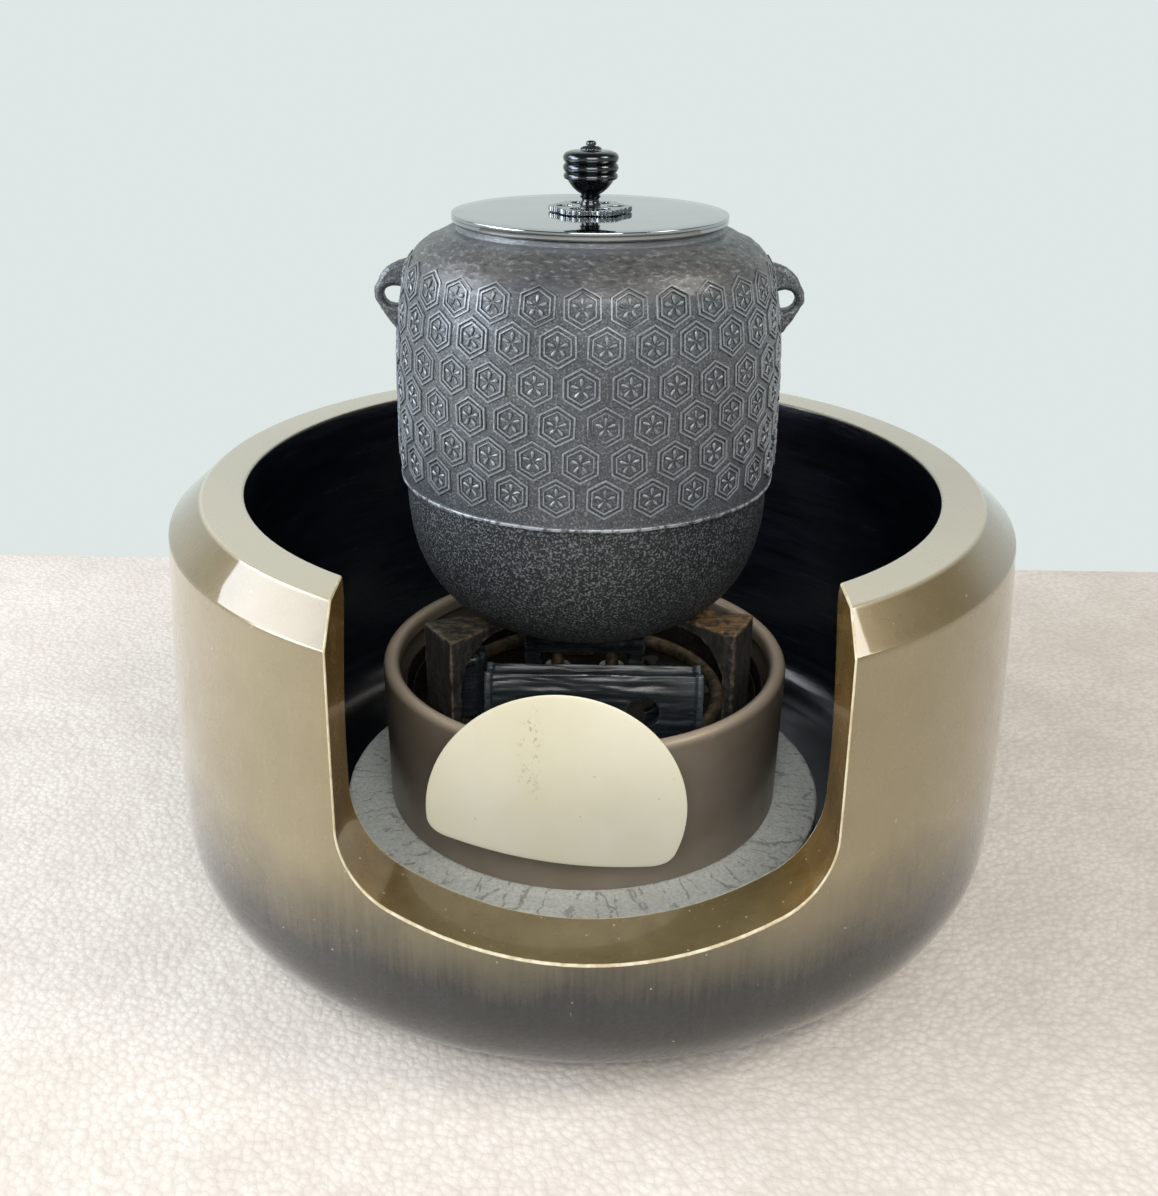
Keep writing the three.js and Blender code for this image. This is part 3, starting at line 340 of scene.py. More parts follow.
def lacquer_cut(tree):
    """Golden brown lacquer on the window's cut faces, a little thicker and glossier."""
    clouds = pattern(tree, "TexNoise", 26, (1, 1, 2.5), Detail=4.0, Roughness=0.6)
    share = node(tree, "MapRange", [clouds, 0.3, 0.7])
    golden = node(tree, "Mix", {0: share, 6: "#56411E", 7: "#7C6133"}, data_type="RGBA")
    taupe = node(tree, "Mix", {0: share, 6: "#584B30", 7: "#6E6142"}, data_type="RGBA")
    share = node(tree, "MapRange", [place_mm(tree, "Z"), 74.0, 84.0])
    colour = node(tree, "Mix", {0: share, 6: taupe, 7: golden}, data_type="RGBA")
    specks = node(tree, "MapRange", [pattern(tree, "TexVoronoi", 5.0), 0.09, 0.05])
    share = node(tree, "Math", [specks, 0.7], operation="MULTIPLY")
    colour = node(tree, "Mix", {0: share, 6: colour, 7: "#D9D2BC"}, data_type="RGBA")
    marks = pattern(tree, "TexNoise", 14, Detail=5.0, Roughness=0.55)
    rough = node(tree, "MapRange", [marks, 0.35, 0.7, 0.2, 0.34])
    marks = pattern(tree, "TexNoise", 16, Detail=2.0, Roughness=0.55)
    ripple = node(tree, "Bump", {"Strength": 0.5, "Distance": 0.3 * MM, "Height": marks})
    return {"Base Color": colour, "Roughness": rough, "Normal": ripple}


def lacquer_edge(tree):
    """Lacquer rubbed thin along the edges, with small pale chips."""
    wear = pattern(tree, "TexNoise", 4.0, (1, 1, 2.5), Detail=4.0, Roughness=0.6)
    share = node(tree, "MapRange", [wear, 0.4, 0.62])
    colour = node(tree, "Mix", {0: share, 6: "#B3A482", 7: "#CFC7AE"}, data_type="RGBA")
    chips = node(tree, "MapRange", [pattern(tree, "TexNoise", 5.0, Detail=3.0, Roughness=0.7), 0.7, 0.74])
    colour = node(tree, "Mix", {0: chips, 6: colour, 7: "#ECE8DC"}, data_type="RGBA")
    normal = node(tree, "Bump", {"Strength": 0.4, "Distance": 0.1 * MM, "Height": wear})
    return {"Base Color": colour, "Normal": normal}


def lacquer_inside(tree):
    """Black lacquer with a blue cast, brushed round the hollow."""
    brush = pattern(tree, "TexNoise", 14, (3.0, 3.0, 0.35), Detail=4.0, Roughness=0.6)
    share = node(tree, "MapRange", [brush, 0.3, 0.7])
    colour = node(tree, "Mix", {0: share, 6: "#06080C", 7: "#10151D"}, data_type="RGBA")
    rough = node(tree, "MapRange", [brush, 0.3, 0.75, 0.14, 0.3])
    normal = node(tree, "Bump", {"Strength": 0.5, "Distance": 0.35 * MM, "Height": brush})
    return {"Base Color": colour, "Roughness": rough, "Normal": normal}


def mineral_board(tree):
    """Pale pressed mineral board, chalky and finely wrinkled, with short cracks that run outwards.

    The cracks follow cells drawn over (angle round the heater, distance from it), about 7 mm by 33 mm.
    """
    across = node(tree, "Math", [place_mm(tree, "X"), -UNIT_X], operation="ADD")
    away = node(tree, "Math", [place_mm(tree, "Y"), -1.0], operation="MULTIPLY")
    across_squared = node(tree, "Math", [across, across], operation="MULTIPLY")
    away_squared = node(tree, "Math", [away, away], operation="MULTIPLY")
    squared = node(tree, "Math", [across_squared, away_squared], operation="ADD")
    radius = node(tree, "Math", [squared], operation="SQRT")
    marks = pattern(tree, "TexNoise", 5, Detail=3.0, Roughness=0.55)
    wander = node(tree, "Math", [marks, 0.7], operation="MULTIPLY")
    turn = node(tree, "Math", [across, away], operation="ARCTAN2")
    around = node(tree, "Math", [turn, 13.0, wander], operation="MULTIPLY_ADD")
    outward = node(tree, "Math", [radius, 0.03], operation="MULTIPLY")
    flat = node(tree, "CombineXYZ", [around, outward])
    edge = node(tree, "TexVoronoi", {"Vector": flat, "Scale": 1.0}, feature="DISTANCE_TO_EDGE")
    broken = node(tree, "MapRange", [pattern(tree, "TexNoise", 6, Detail=3.0, Roughness=0.6), 0.47, 0.55])
    cracks = node(tree, "Math", [node(tree, "MapRange", [edge, 0.045, 0.015]), broken], operation="MULTIPLY")
    wrinkles = pattern(tree, "TexNoise", 1.7, Detail=3.0, Roughness=0.6, Distortion=0.5)
    clouds = pattern(tree, "TexNoise", 17, Detail=5.0, Roughness=0.65)
    share = node(tree, "MapRange", [wrinkles, 0.38, 0.6])
    colour = node(tree, "Mix", {0: share, 6: "#DCE1D9", 7: "#F6F8F3"}, data_type="RGBA")
    share = node(tree, "MapRange", [clouds, 0.5, 0.72, 0.0, 0.4])
    colour = node(tree, "Mix", {0: share, 6: colour, 7: "#DBD8C8"}, data_type="RGBA")
    share = node(tree, "Math", [cracks, 0.5], operation="MULTIPLY")
    colour = node(tree, "Mix", {0: share, 6: colour, 7: "#7A7C74"}, data_type="RGBA")
    fine = node(tree, "Bump", {"Strength": 0.6, "Distance": 0.3 * MM, "Height": wrinkles})
    share = node(tree, "Math", [cracks, -1.0], operation="MULTIPLY")
    normal = node(tree, "Bump", {"Strength": 0.7, "Distance": 0.4 * MM, "Height": share, "Normal": fine})
    return {"Base Color": colour, "Normal": normal}


def ring_paint(tree):
    """Satin taupe stove paint, a little rubbed in patches, with a painted highlight along the top of the rolled
    lip.
    """
    clouds = pattern(tree, "TexNoise", 34, Detail=3.0, Roughness=0.5)
    share = node(tree, "MapRange", [clouds, 0.35, 0.65])
    colour = node(tree, "Mix", {0: share, 6: "#857968", 7: "#92877A"}, data_type="RGBA")
    worn = node(tree, "MapRange", [pattern(tree, "TexNoise", 8, Detail=5.0, Roughness=0.7), 0.64, 0.74])
    share = node(tree, "Math", [worn, 0.3], operation="MULTIPLY")
    colour = node(tree, "Mix", {0: share, 6: colour, 7: "#A1968A"}, data_type="RGBA")
    # Painted highlight: the top of the rolled lip is made paler, as where it catches the light.
    share = node(tree, "MapRange", [place_mm(tree, "Z"), 94.6, 96.8, 0.0, 0.75])
    colour = node(tree, "Mix", {0: share, 6: colour, 7: "#BFAE99"}, data_type="RGBA")
    marks = pattern(tree, "TexNoise", 11, Detail=4.0, Roughness=0.55)
    rough = node(tree, "MapRange", [marks, 0.35, 0.7, 0.3, 0.4])
    marks = pattern(tree, "TexNoise", 1.4, Detail=2.0, Roughness=0.55)
    normal = node(tree, "Bump", {"Strength": 0.5, "Distance": 0.02 * MM, "Height": marks})
    return {"Base Color": colour, "Roughness": rough, "Normal": normal}


def heat_stained_and_shaded_steel(tree):
    """Bright steel sheet tanned and clouded by heat, and darkened further as painted shade for its place deep in
    the hollow.
    """
    clouds = pattern(tree, "TexNoise", 13, Detail=5.0, Roughness=0.6)
    share = node(tree, "MapRange", [clouds, 0.38, 0.62])
    # Partly heat stain, partly painted shade: both tones are kept dark, as for steel in shadow.
    colour = node(tree, "Mix", {0: share, 6: "#5E5A54", 7: "#47403A"}, data_type="RGBA")
    rough = node(tree, "MapRange", [clouds, 0.3, 0.7, 0.22, 0.4])
    marks = pattern(tree, "TexNoise", 1.5, Detail=3.0, Roughness=0.55)
    normal = node(tree, "Bump", {"Strength": 0.6, "Distance": 0.05 * MM, "Height": marks})
    return {"Base Color": colour, "Roughness": rough, "Normal": normal}


def plain_steel(tree):
    """Zinc-plated mild steel, dull grey with a faint brushed grain."""
    brush = pattern(tree, "TexNoise", 1.2, (1, 8, 1), Detail=3.0, Roughness=0.6)
    share = node(tree, "MapRange", [brush, 0.3, 0.7])
    colour = node(tree, "Mix", {0: share, 6: "#8A8A88", 7: "#A5A5A2"}, data_type="RGBA")
    return {"Base Color": colour, "Roughness": node(tree, "MapRange", [brush, 0.3, 0.7, 0.3, 0.44])}


def element_sheath(tree):
    """The sheathed element, scaled tan and grey by heat."""
    scale = pattern(tree, "TexNoise", 5, Detail=5.0, Roughness=0.65)
    share = node(tree, "MapRange", [scale, 0.38, 0.62])
    colour = node(tree, "Mix", {0: share, 6: "#75664F", 7: "#40392F"}, data_type="RGBA")
    normal = node(tree, "Bump", {"Strength": 0.8, "Distance": 0.12 * MM, "Height": scale})
    rough = node(tree, "MapRange", [scale, 0.3, 0.7, 0.5, 0.7])
    return {"Base Color": colour, "Roughness": rough, "Normal": normal}


def porcelain(tree):
    """Glazed steatite, cream white and a little browned by the heat."""
    spots = pattern(tree, "TexNoise", 3.0, Detail=3.0, Roughness=0.6)
    share = node(tree, "MapRange", [spots, 0.55, 0.75])
    colour = node(tree, "Mix", {0: share, 6: "#DED8CA", 7: "#BDB29B"}, data_type="RGBA")
    return {"Base Color": colour}


def rubber(tree):
    """Moulded rubber, matt black with a fine even skin."""
    fine = pattern(tree, "TexNoise", 0.8, Detail=3.0, Roughness=0.55)
    normal = node(tree, "Bump", {"Strength": 0.7, "Distance": 0.06 * MM, "Height": fine})
    colour = node(tree, "Mix", {0: fine, 6: "#191919", 7: "#282828"}, data_type="RGBA")
    return {"Base Color": colour, "Normal": normal}


def sleeving(tree):
    """Braided glass sleeving, cream and dry."""
    weave = pattern(tree, "TexNoise", 0.5, (1, 1, 2), Detail=2.0, Roughness=0.5)
    normal = node(tree, "Bump", {"Strength": 0.8, "Distance": 0.1 * MM, "Height": weave})
    colour = node(tree, "Mix", {0: weave, 6: "#A9A08C", 7: "#D0C8B4"}, data_type="RGBA")
    return {"Base Color": colour, "Normal": normal}


def trivet_iron(tree):
    """Cast iron blackened by heat, paler along its edges from rubbing and a painted highlight, and rusted tan on
    top.
    """
    rust = pattern(tree, "TexNoise", 7, Detail=6.0, Roughness=0.7)
    pits = pattern(tree, "TexNoise", 1.3, Detail=4.0, Roughness=0.7)
    flow = pattern(tree, "TexNoise", 1.6, (1, 1, 7), Detail=4.0, Roughness=0.65)
    share = node(tree, "MapRange", [flow, 0.35, 0.65])
    colour = node(tree, "Mix", {0: share, 6: "#262625", 7: "#3D3B38"}, data_type="RGBA")
    # Paler edges: partly rubbed iron, partly a painted highlight where the edges stand out.
    share = node(tree, "MapRange", [node(tree, "Attribute", out="Fac", attribute_name="stands_out"), 0.12, 0.3])
    edge_wear_and_highlight = node(tree, "Math", [share, node(tree, "MapRange", [rust, 0.4, 0.55])], operation="MULTIPLY")
    share = node(tree, "Math", [edge_wear_and_highlight, 0.6], operation="MULTIPLY")
    colour = node(tree, "Mix", {0: share, 6: colour, 7: "#857860"}, data_type="RGBA")
    share = node(tree, "MapRange", [place_mm(tree, "Z"), 124.2, 125.6])
    top = node(tree, "Math", [share, node(tree, "MapRange", [rust, 0.36, 0.52])], operation="MULTIPLY")
    x_mm = place_mm(tree, "X")
    marks = pattern(tree, "TexNoise", 2.2, (4, 1, 1), Detail=4.0, Roughness=0.6)
    share = node(tree, "MapRange", [marks, 0.4, 0.6])
    brown = node(tree, "Mix", {0: share, 6: "#2B2823", 7: "#665A46"}, data_type="RGBA")
    tan = node(tree, "Mix", {0: share, 6: "#5A4833", 7: "#8F7049"}, data_type="RGBA")
    tint = node(tree, "Mix", {0: node(tree, "MapRange", [x_mm, -10, 10]), 6: brown, 7: tan}, data_type="RGBA")
    share = node(tree, "Math", [top, 0.8], operation="MULTIPLY")
    colour = node(tree, "Mix", {0: share, 6: colour, 7: tint}, data_type="RGBA")
    share = node(tree, "MapRange", [pits, 0.62, 0.75])
    colour = node(tree, "Mix", {0: share, 6: colour, 7: "#1D1B19"}, data_type="RGBA")
    rough = node(tree, "MapRange", [rust, 0.35, 0.65, 0.36, 0.7])
    normal = node(tree, "Bump", {"Strength": 0.8, "Distance": 0.3 * MM, "Height": pits})
    return {"Base Color": colour, "Roughness": rough, "Normal": normal}


def charcoal(tree):
    """Imitation charcoal: satin black with a blue cast, its ridges paler from rubbing and a painted sheen, with
    white spots on the top one as painted glints, partly worn.
    """
    fibres = pattern(tree, "TexNoise", 1.5, (16, 1, 1), Detail=4.0, Roughness=0.6)
    clouds = pattern(tree, "TexNoise", 16, Detail=3.0, Roughness=0.5)
    share = node(tree, "MapRange", [fibres, 0.35, 0.7])
    colour = node(tree, "Mix", {0: share, 6: "#16191C", 7: "#252B2F"}, data_type="RGBA")
    share = node(tree, "Math", [node(tree, "MapRange", [clouds, 0.45, 0.7]), 0.4], operation="MULTIPLY")
    colour = node(tree, "Mix", {0: share, 6: colour, 7: "#343C40"}, data_type="RGBA")
    # Paler ridges: partly rubbed, partly a painted sheen on the edges that stand out.
    ridge_wear_and_sheen = node(tree, "Attribute", out="Fac", attribute_name="stands_out")
    share = node(tree, "MapRange", [ridge_wear_and_sheen, 0.14, 0.36, 0.0, 0.45])
    colour = node(tree, "Mix", {0: share, 6: colour, 7: "#4A5357"}, data_type="RGBA")
    # Painted highlight: white glint spots along the top front ridge, partly worn spots.
    x_mm = place_mm(tree, "X")
    share = node(tree, "MapRange", [place_mm(tree, "Z"), 111.6, 112.4])
    spots = node(tree, "Math", [band(tree, x_mm, -2.0, 14.0, 5.0), share], operation="MULTIPLY")
    share = node(tree, "MapRange", [pattern(tree, "TexNoise", 2.4, Detail=3.0, Roughness=0.6), 0.5, 0.56])
    spots = node(tree, "Math", [spots, share], operation="MULTIPLY")
    colour = node(tree, "Mix", {0: spots, 6: colour, 7: "#DDDCD2"}, data_type="RGBA")
    rough = node(tree, "MapRange", [fibres, 0.3, 0.7, 0.2, 0.38])
    normal = node(tree, "Bump", {"Strength": 0.6, "Distance": 0.25 * MM, "Height": fibres})
    return {"Base Color": colour, "Roughness": rough, "Normal": normal}


def pale_clay(tree):
    """Smooth cream biscuit clay with faint brown touches and pin holes."""
    clouds = pattern(tree, "TexNoise", 38, Detail=4.0, Roughness=0.55)
    share = node(tree, "MapRange", [clouds, 0.35, 0.65])
    colour = node(tree, "Mix", {0: share, 6: "#EFEACF", 7: "#F5F1DC"}, data_type="RGBA")
    mottle = pattern(tree, "TexNoise", 16, Detail=2.0, Roughness=0.55)
    sway = node(tree, "Math", [mottle, 12.0], operation="MULTIPLY")
    swayed = node(tree, "Math", [place_mm(tree, "X"), sway], operation="ADD")
    across = node(tree, "Math", [node(tree, "Math", [swayed, 16.5], operation="ADD")], operation="ABSOLUTE")
    level = node(tree, "Math", [place_mm(tree, "Z"), -103.0], operation="ADD")
    up = node(tree, "Math", [level], operation="ABSOLUTE")
    in_line = node(tree, "MapRange", [across, 6.0, 1.5])
    near = node(tree, "Math", [in_line, node(tree, "MapRange", [up, 24.0, 12.0])], operation="MULTIPLY")
    mottle = pattern(tree, "TexNoise", 1.6, (1, 1, 1.6), Detail=5.0, Roughness=0.75)
    marks = node(tree, "MapRange", [mottle, 0.55, 0.63])
    product = node(tree, "Math", [near, marks], operation="MULTIPLY")
    share = node(tree, "Math", [product, 0.6], operation="MULTIPLY")
    colour = node(tree, "Mix", {0: share, 6: colour, 7: "#9A8455"}, data_type="RGBA")
    pins = node(tree, "MapRange", [pattern(tree, "TexVoronoi", 8.0), 0.06, 0.04])
    share = node(tree, "Math", [pins, 0.45], operation="MULTIPLY")
    colour = node(tree, "Mix", {0: share, 6: colour, 7: "#B6AA82"}, data_type="RGBA")
    marks = pattern(tree, "TexNoise", 0.9, Detail=3.0, Roughness=0.55)
    fine = node(tree, "Bump", {"Strength": 0.6, "Distance": 0.05 * MM, "Height": marks})
    marks = pattern(tree, "TexNoise", 14, Detail=2.0, Roughness=0.55)
    normal = node(tree, "Bump", {"Strength": 0.5, "Distance": 0.25 * MM, "Height": marks, "Normal": fine})
    return {"Base Color": colour, "Normal": normal}


def sandy_iron(tree, dark, middle, light):
    """Cast iron skin from a sand mould: close grains under a millimetre, and wrinkles on the shoulder."""
    sand = pattern(tree, "TexNoise", 0.8, Detail=2.0, Roughness=0.5)
    coarse = pattern(tree, "TexNoise", 3.0, Detail=3.0, Roughness=0.6)
    wrinkles = pattern(tree, "TexNoise", 1.4, (2.2, 2.2, 0.7), Detail=3.0, Roughness=0.6, Distortion=0.4)
    clouds = pattern(tree, "TexNoise", 40, Detail=4.0, Roughness=0.6)
    level = place_mm(tree, "Z")
    shoulder = node(tree, "MapRange", [level, 274.0, 283.0])
    rest = node(tree, "Math", [1.0, shoulder], operation="SUBTRACT")
    share = node(tree, "Math", [sand, rest], operation="MULTIPLY")
    product = node(tree, "Math", [wrinkles, shoulder], operation="MULTIPLY")
    skin = node(tree, "Math", [share, product], operation="ADD")
    share = node(tree, "MapRange", [clouds, 0.35, 0.65])
    colour = node(tree, "Mix", {0: share, 6: middle[0], 7: middle[1]}, data_type="RGBA")
    brown = node(tree, "Math", [shoulder, node(tree, "MapRange", [clouds, 0.3, 0.6])], operation="MULTIPLY")
    share = node(tree, "Math", [brown, 0.6], operation="MULTIPLY")
    colour = node(tree, "Mix", {0: share, 6: colour, 7: "#55514A"}, data_type="RGBA")
    share = node(tree, "MapRange", [skin, 0.54, 0.7, 0.0, 0.8])
    colour = node(tree, "Mix", {0: share, 6: colour, 7: light}, data_type="RGBA")
    share = node(tree, "MapRange", [skin, 0.46, 0.32, 0.0, 0.8])
    colour = node(tree, "Mix", {0: share, 6: colour, 7: dark}, data_type="RGBA")
    share = node(tree, "MapRange", [level, 290.0, 292.0, 0.0, 0.6])
    colour = node(tree, "Mix", {0: share, 6: colour, 7: "#70767A"}, data_type="RGBA")
    # Painted highlight along the seam's lip, partly wear on its edge, broken up by coarse noise.
    share = node(tree, "MapRange", [coarse, 0.4, 0.55])
    lip = node(tree, "Math", [band(tree, level, 187.5, 188.9, 0.3), share], operation="MULTIPLY")
    colour = node(tree, "Mix", {0: lip, 6: colour, 7: "#9AA0A5"}, data_type="RGBA")
    share = node(tree, "MapRange", [level, 285.0, 290.0, 1.0, 2.6])
    ripe = node(tree, "Math", [skin, share], operation="MULTIPLY")
    rough = node(tree, "MapRange", [coarse, 0.3, 0.7, 0.32, 0.46])
    normal = node(tree, "Bump", {"Strength": 0.8, "Distance": 0.2 * MM, "Height": ripe})
    return colour, rough, normal


def kettle_iron(tree):
    """The body's lacquered cast iron, blue grey and sandy."""
    colour, rough, skin = sandy_iron(tree, "#313436", ("#46494D", "#52565A"), "#82878C")
    return {"Base Color": colour, "Roughness": rough, "Normal": skin}


def raised_iron(tree):
    """The hexagons' iron: paler on the lines and petals, partly rubbed and partly painted highlight, with painted
    shade along their feet.
    """
    colour, rough, skin = sandy_iron(tree, "#5E6267", ("#787D82", "#868C91"), "#9DA4A9")
    # Painted shade: the low feet of the lines and petals are darkened as if in their own shadow.
    rise = node(tree, "Attribute", out="Fac", attribute_name="rise")
    share = node(tree, "MapRange", [rise, 0.5, 0.15])
    colour = node(tree, "Mix", {0: share, 6: colour, 7: "#1B1D1E"}, data_type="RGBA")
    return {"Base Color": colour, "Roughness": rough, "Normal": skin}


def bowl_iron(tree):
    """The bowl's rough skin: near black, with bright close grains a millimetre across."""
    sand = pattern(tree, "TexNoise", 0.95, Detail=2.5, Roughness=0.6)
    clouds = pattern(tree, "TexNoise", 30, Detail=3.0, Roughness=0.6)
    share = node(tree, "MapRange", [clouds, 0.35, 0.7])
    colour = node(tree, "Mix", {0: share, 6: "#191B1D", 7: "#242628"}, data_type="RGBA")
    share = node(tree, "MapRange", [sand, 0.51, 0.63])
    colour = node(tree, "Mix", {0: share, 6: colour, 7: "#6C7175"}, data_type="RGBA")
    fine = node(tree, "Bump", {"Strength": 1.0, "Distance": 0.5 * MM, "Height": sand})
    rough = node(tree, "MapRange", [sand, 0.4, 0.65, 0.6, 0.36])
    return {"Base Color": colour, "Roughness": rough, "Normal": fine}


def black_bronze(tree):
    """Bronze with a dark patina, polished on its high places."""
    wipes = pattern(tree, "TexNoise", 9, (2.5, 1, 1), Detail=5.0, Roughness=0.6, Distortion=0.6)
    share = node(tree, "MapRange", [wipes, 0.35, 0.7])
    colour = node(tree, "Mix", {0: share, 6: "#3A3D40", 7: "#4C5053"}, data_type="RGBA")
    return {"Base Color": colour, "Roughness": node(tree, "MapRange", [wipes, 0.35, 0.8, 0.12, 0.22])}


def seat_bronze_painted_reflection(tree):
    """The knob seat's bronze, made paler than the knob's dark patina as a painted reflection."""
    wipes = pattern(tree, "TexNoise", 6, Detail=4.0, Roughness=0.6)
    # Painted reflection: a pale grey base in place of the dark patina.
    share = node(tree, "MapRange", [wipes, 0.35, 0.7])
    colour = node(tree, "Mix", {0: share, 6: "#6A6E71", 7: "#84888B"}, data_type="RGBA")
    return {"Base Color": colour, "Roughness": node(tree, "MapRange", [wipes, 0.35, 0.8, 0.14, 0.26])}


def lid_bronze_painted_reflection(tree):
    """The lid's bronze, polished to a mirror, with faint wipe marks, its base far paler than the knob's as a
    painted reflection.
    """
    wipes = pattern(tree, "TexNoise", 22, (2.5, 1, 1), Detail=5.0, Roughness=0.6, Distortion=0.6)
    # Painted reflection: the same bronze as the knob, given a much paler base so the lid shines pale.
    share = node(tree, "MapRange", [wipes, 0.35, 0.7])
    colour = node(tree, "Mix", {0: share, 6: "#A0A4A6", 7: "#ACB0B2"}, data_type="RGBA")
    return {"Base Color": colour, "Roughness": node(tree, "MapRange", [wipes, 0.35, 0.8, 0.05, 0.11])}


# Each finish: what draws it, and what is the same all over it
MATERIALS = {
    "lacquer_outer": (lacquer_outer, {"Specular_IOR_Level": 0.25, "Coat_Weight": 1.0, "Coat_Roughness": 0.04,
                                      "Coat_IOR": 1.52}),
    "lacquer_cut": (lacquer_cut, {"Metallic": 0.25, "Coat_Weight": 0.6, "Coat_Roughness": 0.06, "Coat_IOR": 1.52}),
    "lacquer_edge": (lacquer_edge, {"Roughness": 0.4, "IOR": 1.5}),
    "lacquer_inside": (lacquer_inside, {"IOR": 1.52}),
    "mineral_board": (mineral_board, {"Roughness": 0.92, "IOR": 1.5}),
    "ring_paint": (ring_paint, {"Metallic": 0.15, "IOR": 1.5}),
    "heat_stained_and_shaded_steel": (heat_stained_and_shaded_steel, {"Metallic": 0.85}),
    "plain_steel": (plain_steel, {"Metallic": 1.0}),
    "element_sheath": (element_sheath, {"Metallic": 0.4}),
    "porcelain": (porcelain, {"Roughness": 0.3, "IOR": 1.5}),
    "rubber": (rubber, {"Roughness": 0.75, "IOR": 1.52}),
    "sleeving": (sleeving, {"Roughness": 0.8, "IOR": 1.5}),
    "trivet_iron": (trivet_iron, {"Metallic": 0.35}),
    "charcoal": (charcoal, {"IOR": 1.5}),
    "pale_clay": (pale_clay, {"Roughness": 0.58, "IOR": 1.5}),
    "kettle_iron": (kettle_iron, {"Metallic": 0.3}),
    "raised_iron": (raised_iron, {"Metallic": 0.35}),
    "bowl_iron": (bowl_iron, {"Metallic": 0.25}),
    "black_bronze": (black_bronze, {"Metallic": 1.0}),
    "seat_bronze_painted_reflection": (seat_bronze_painted_reflection, {"Metallic": 1.0}),
    "lid_bronze_painted_reflection": (lid_bronze_painted_reflection, {"Metallic": 1.0}),
}
MAT = {name: material(name, make, **constants) for name, (make, constants) in MATERIALS.items()}


# Casing: the wall's own rows and columns follow the window, so the lacquer shades evenly

def side_r(z):
    """The outside's radius, widest at the knee and a little drawn in towards the chamfer."""
    return CASING_R - 6.1 * ((z - KNEE_Z) / 134.3) ** 2


def hollow_r(z):
    """The hollow's radius, which draws in by 12 mm over its top 60 mm."""
    return HOLLOW_R - 12 * (1 - math.sin(min(max((176 - z) / 60, 0), 1) * math.pi / 2))


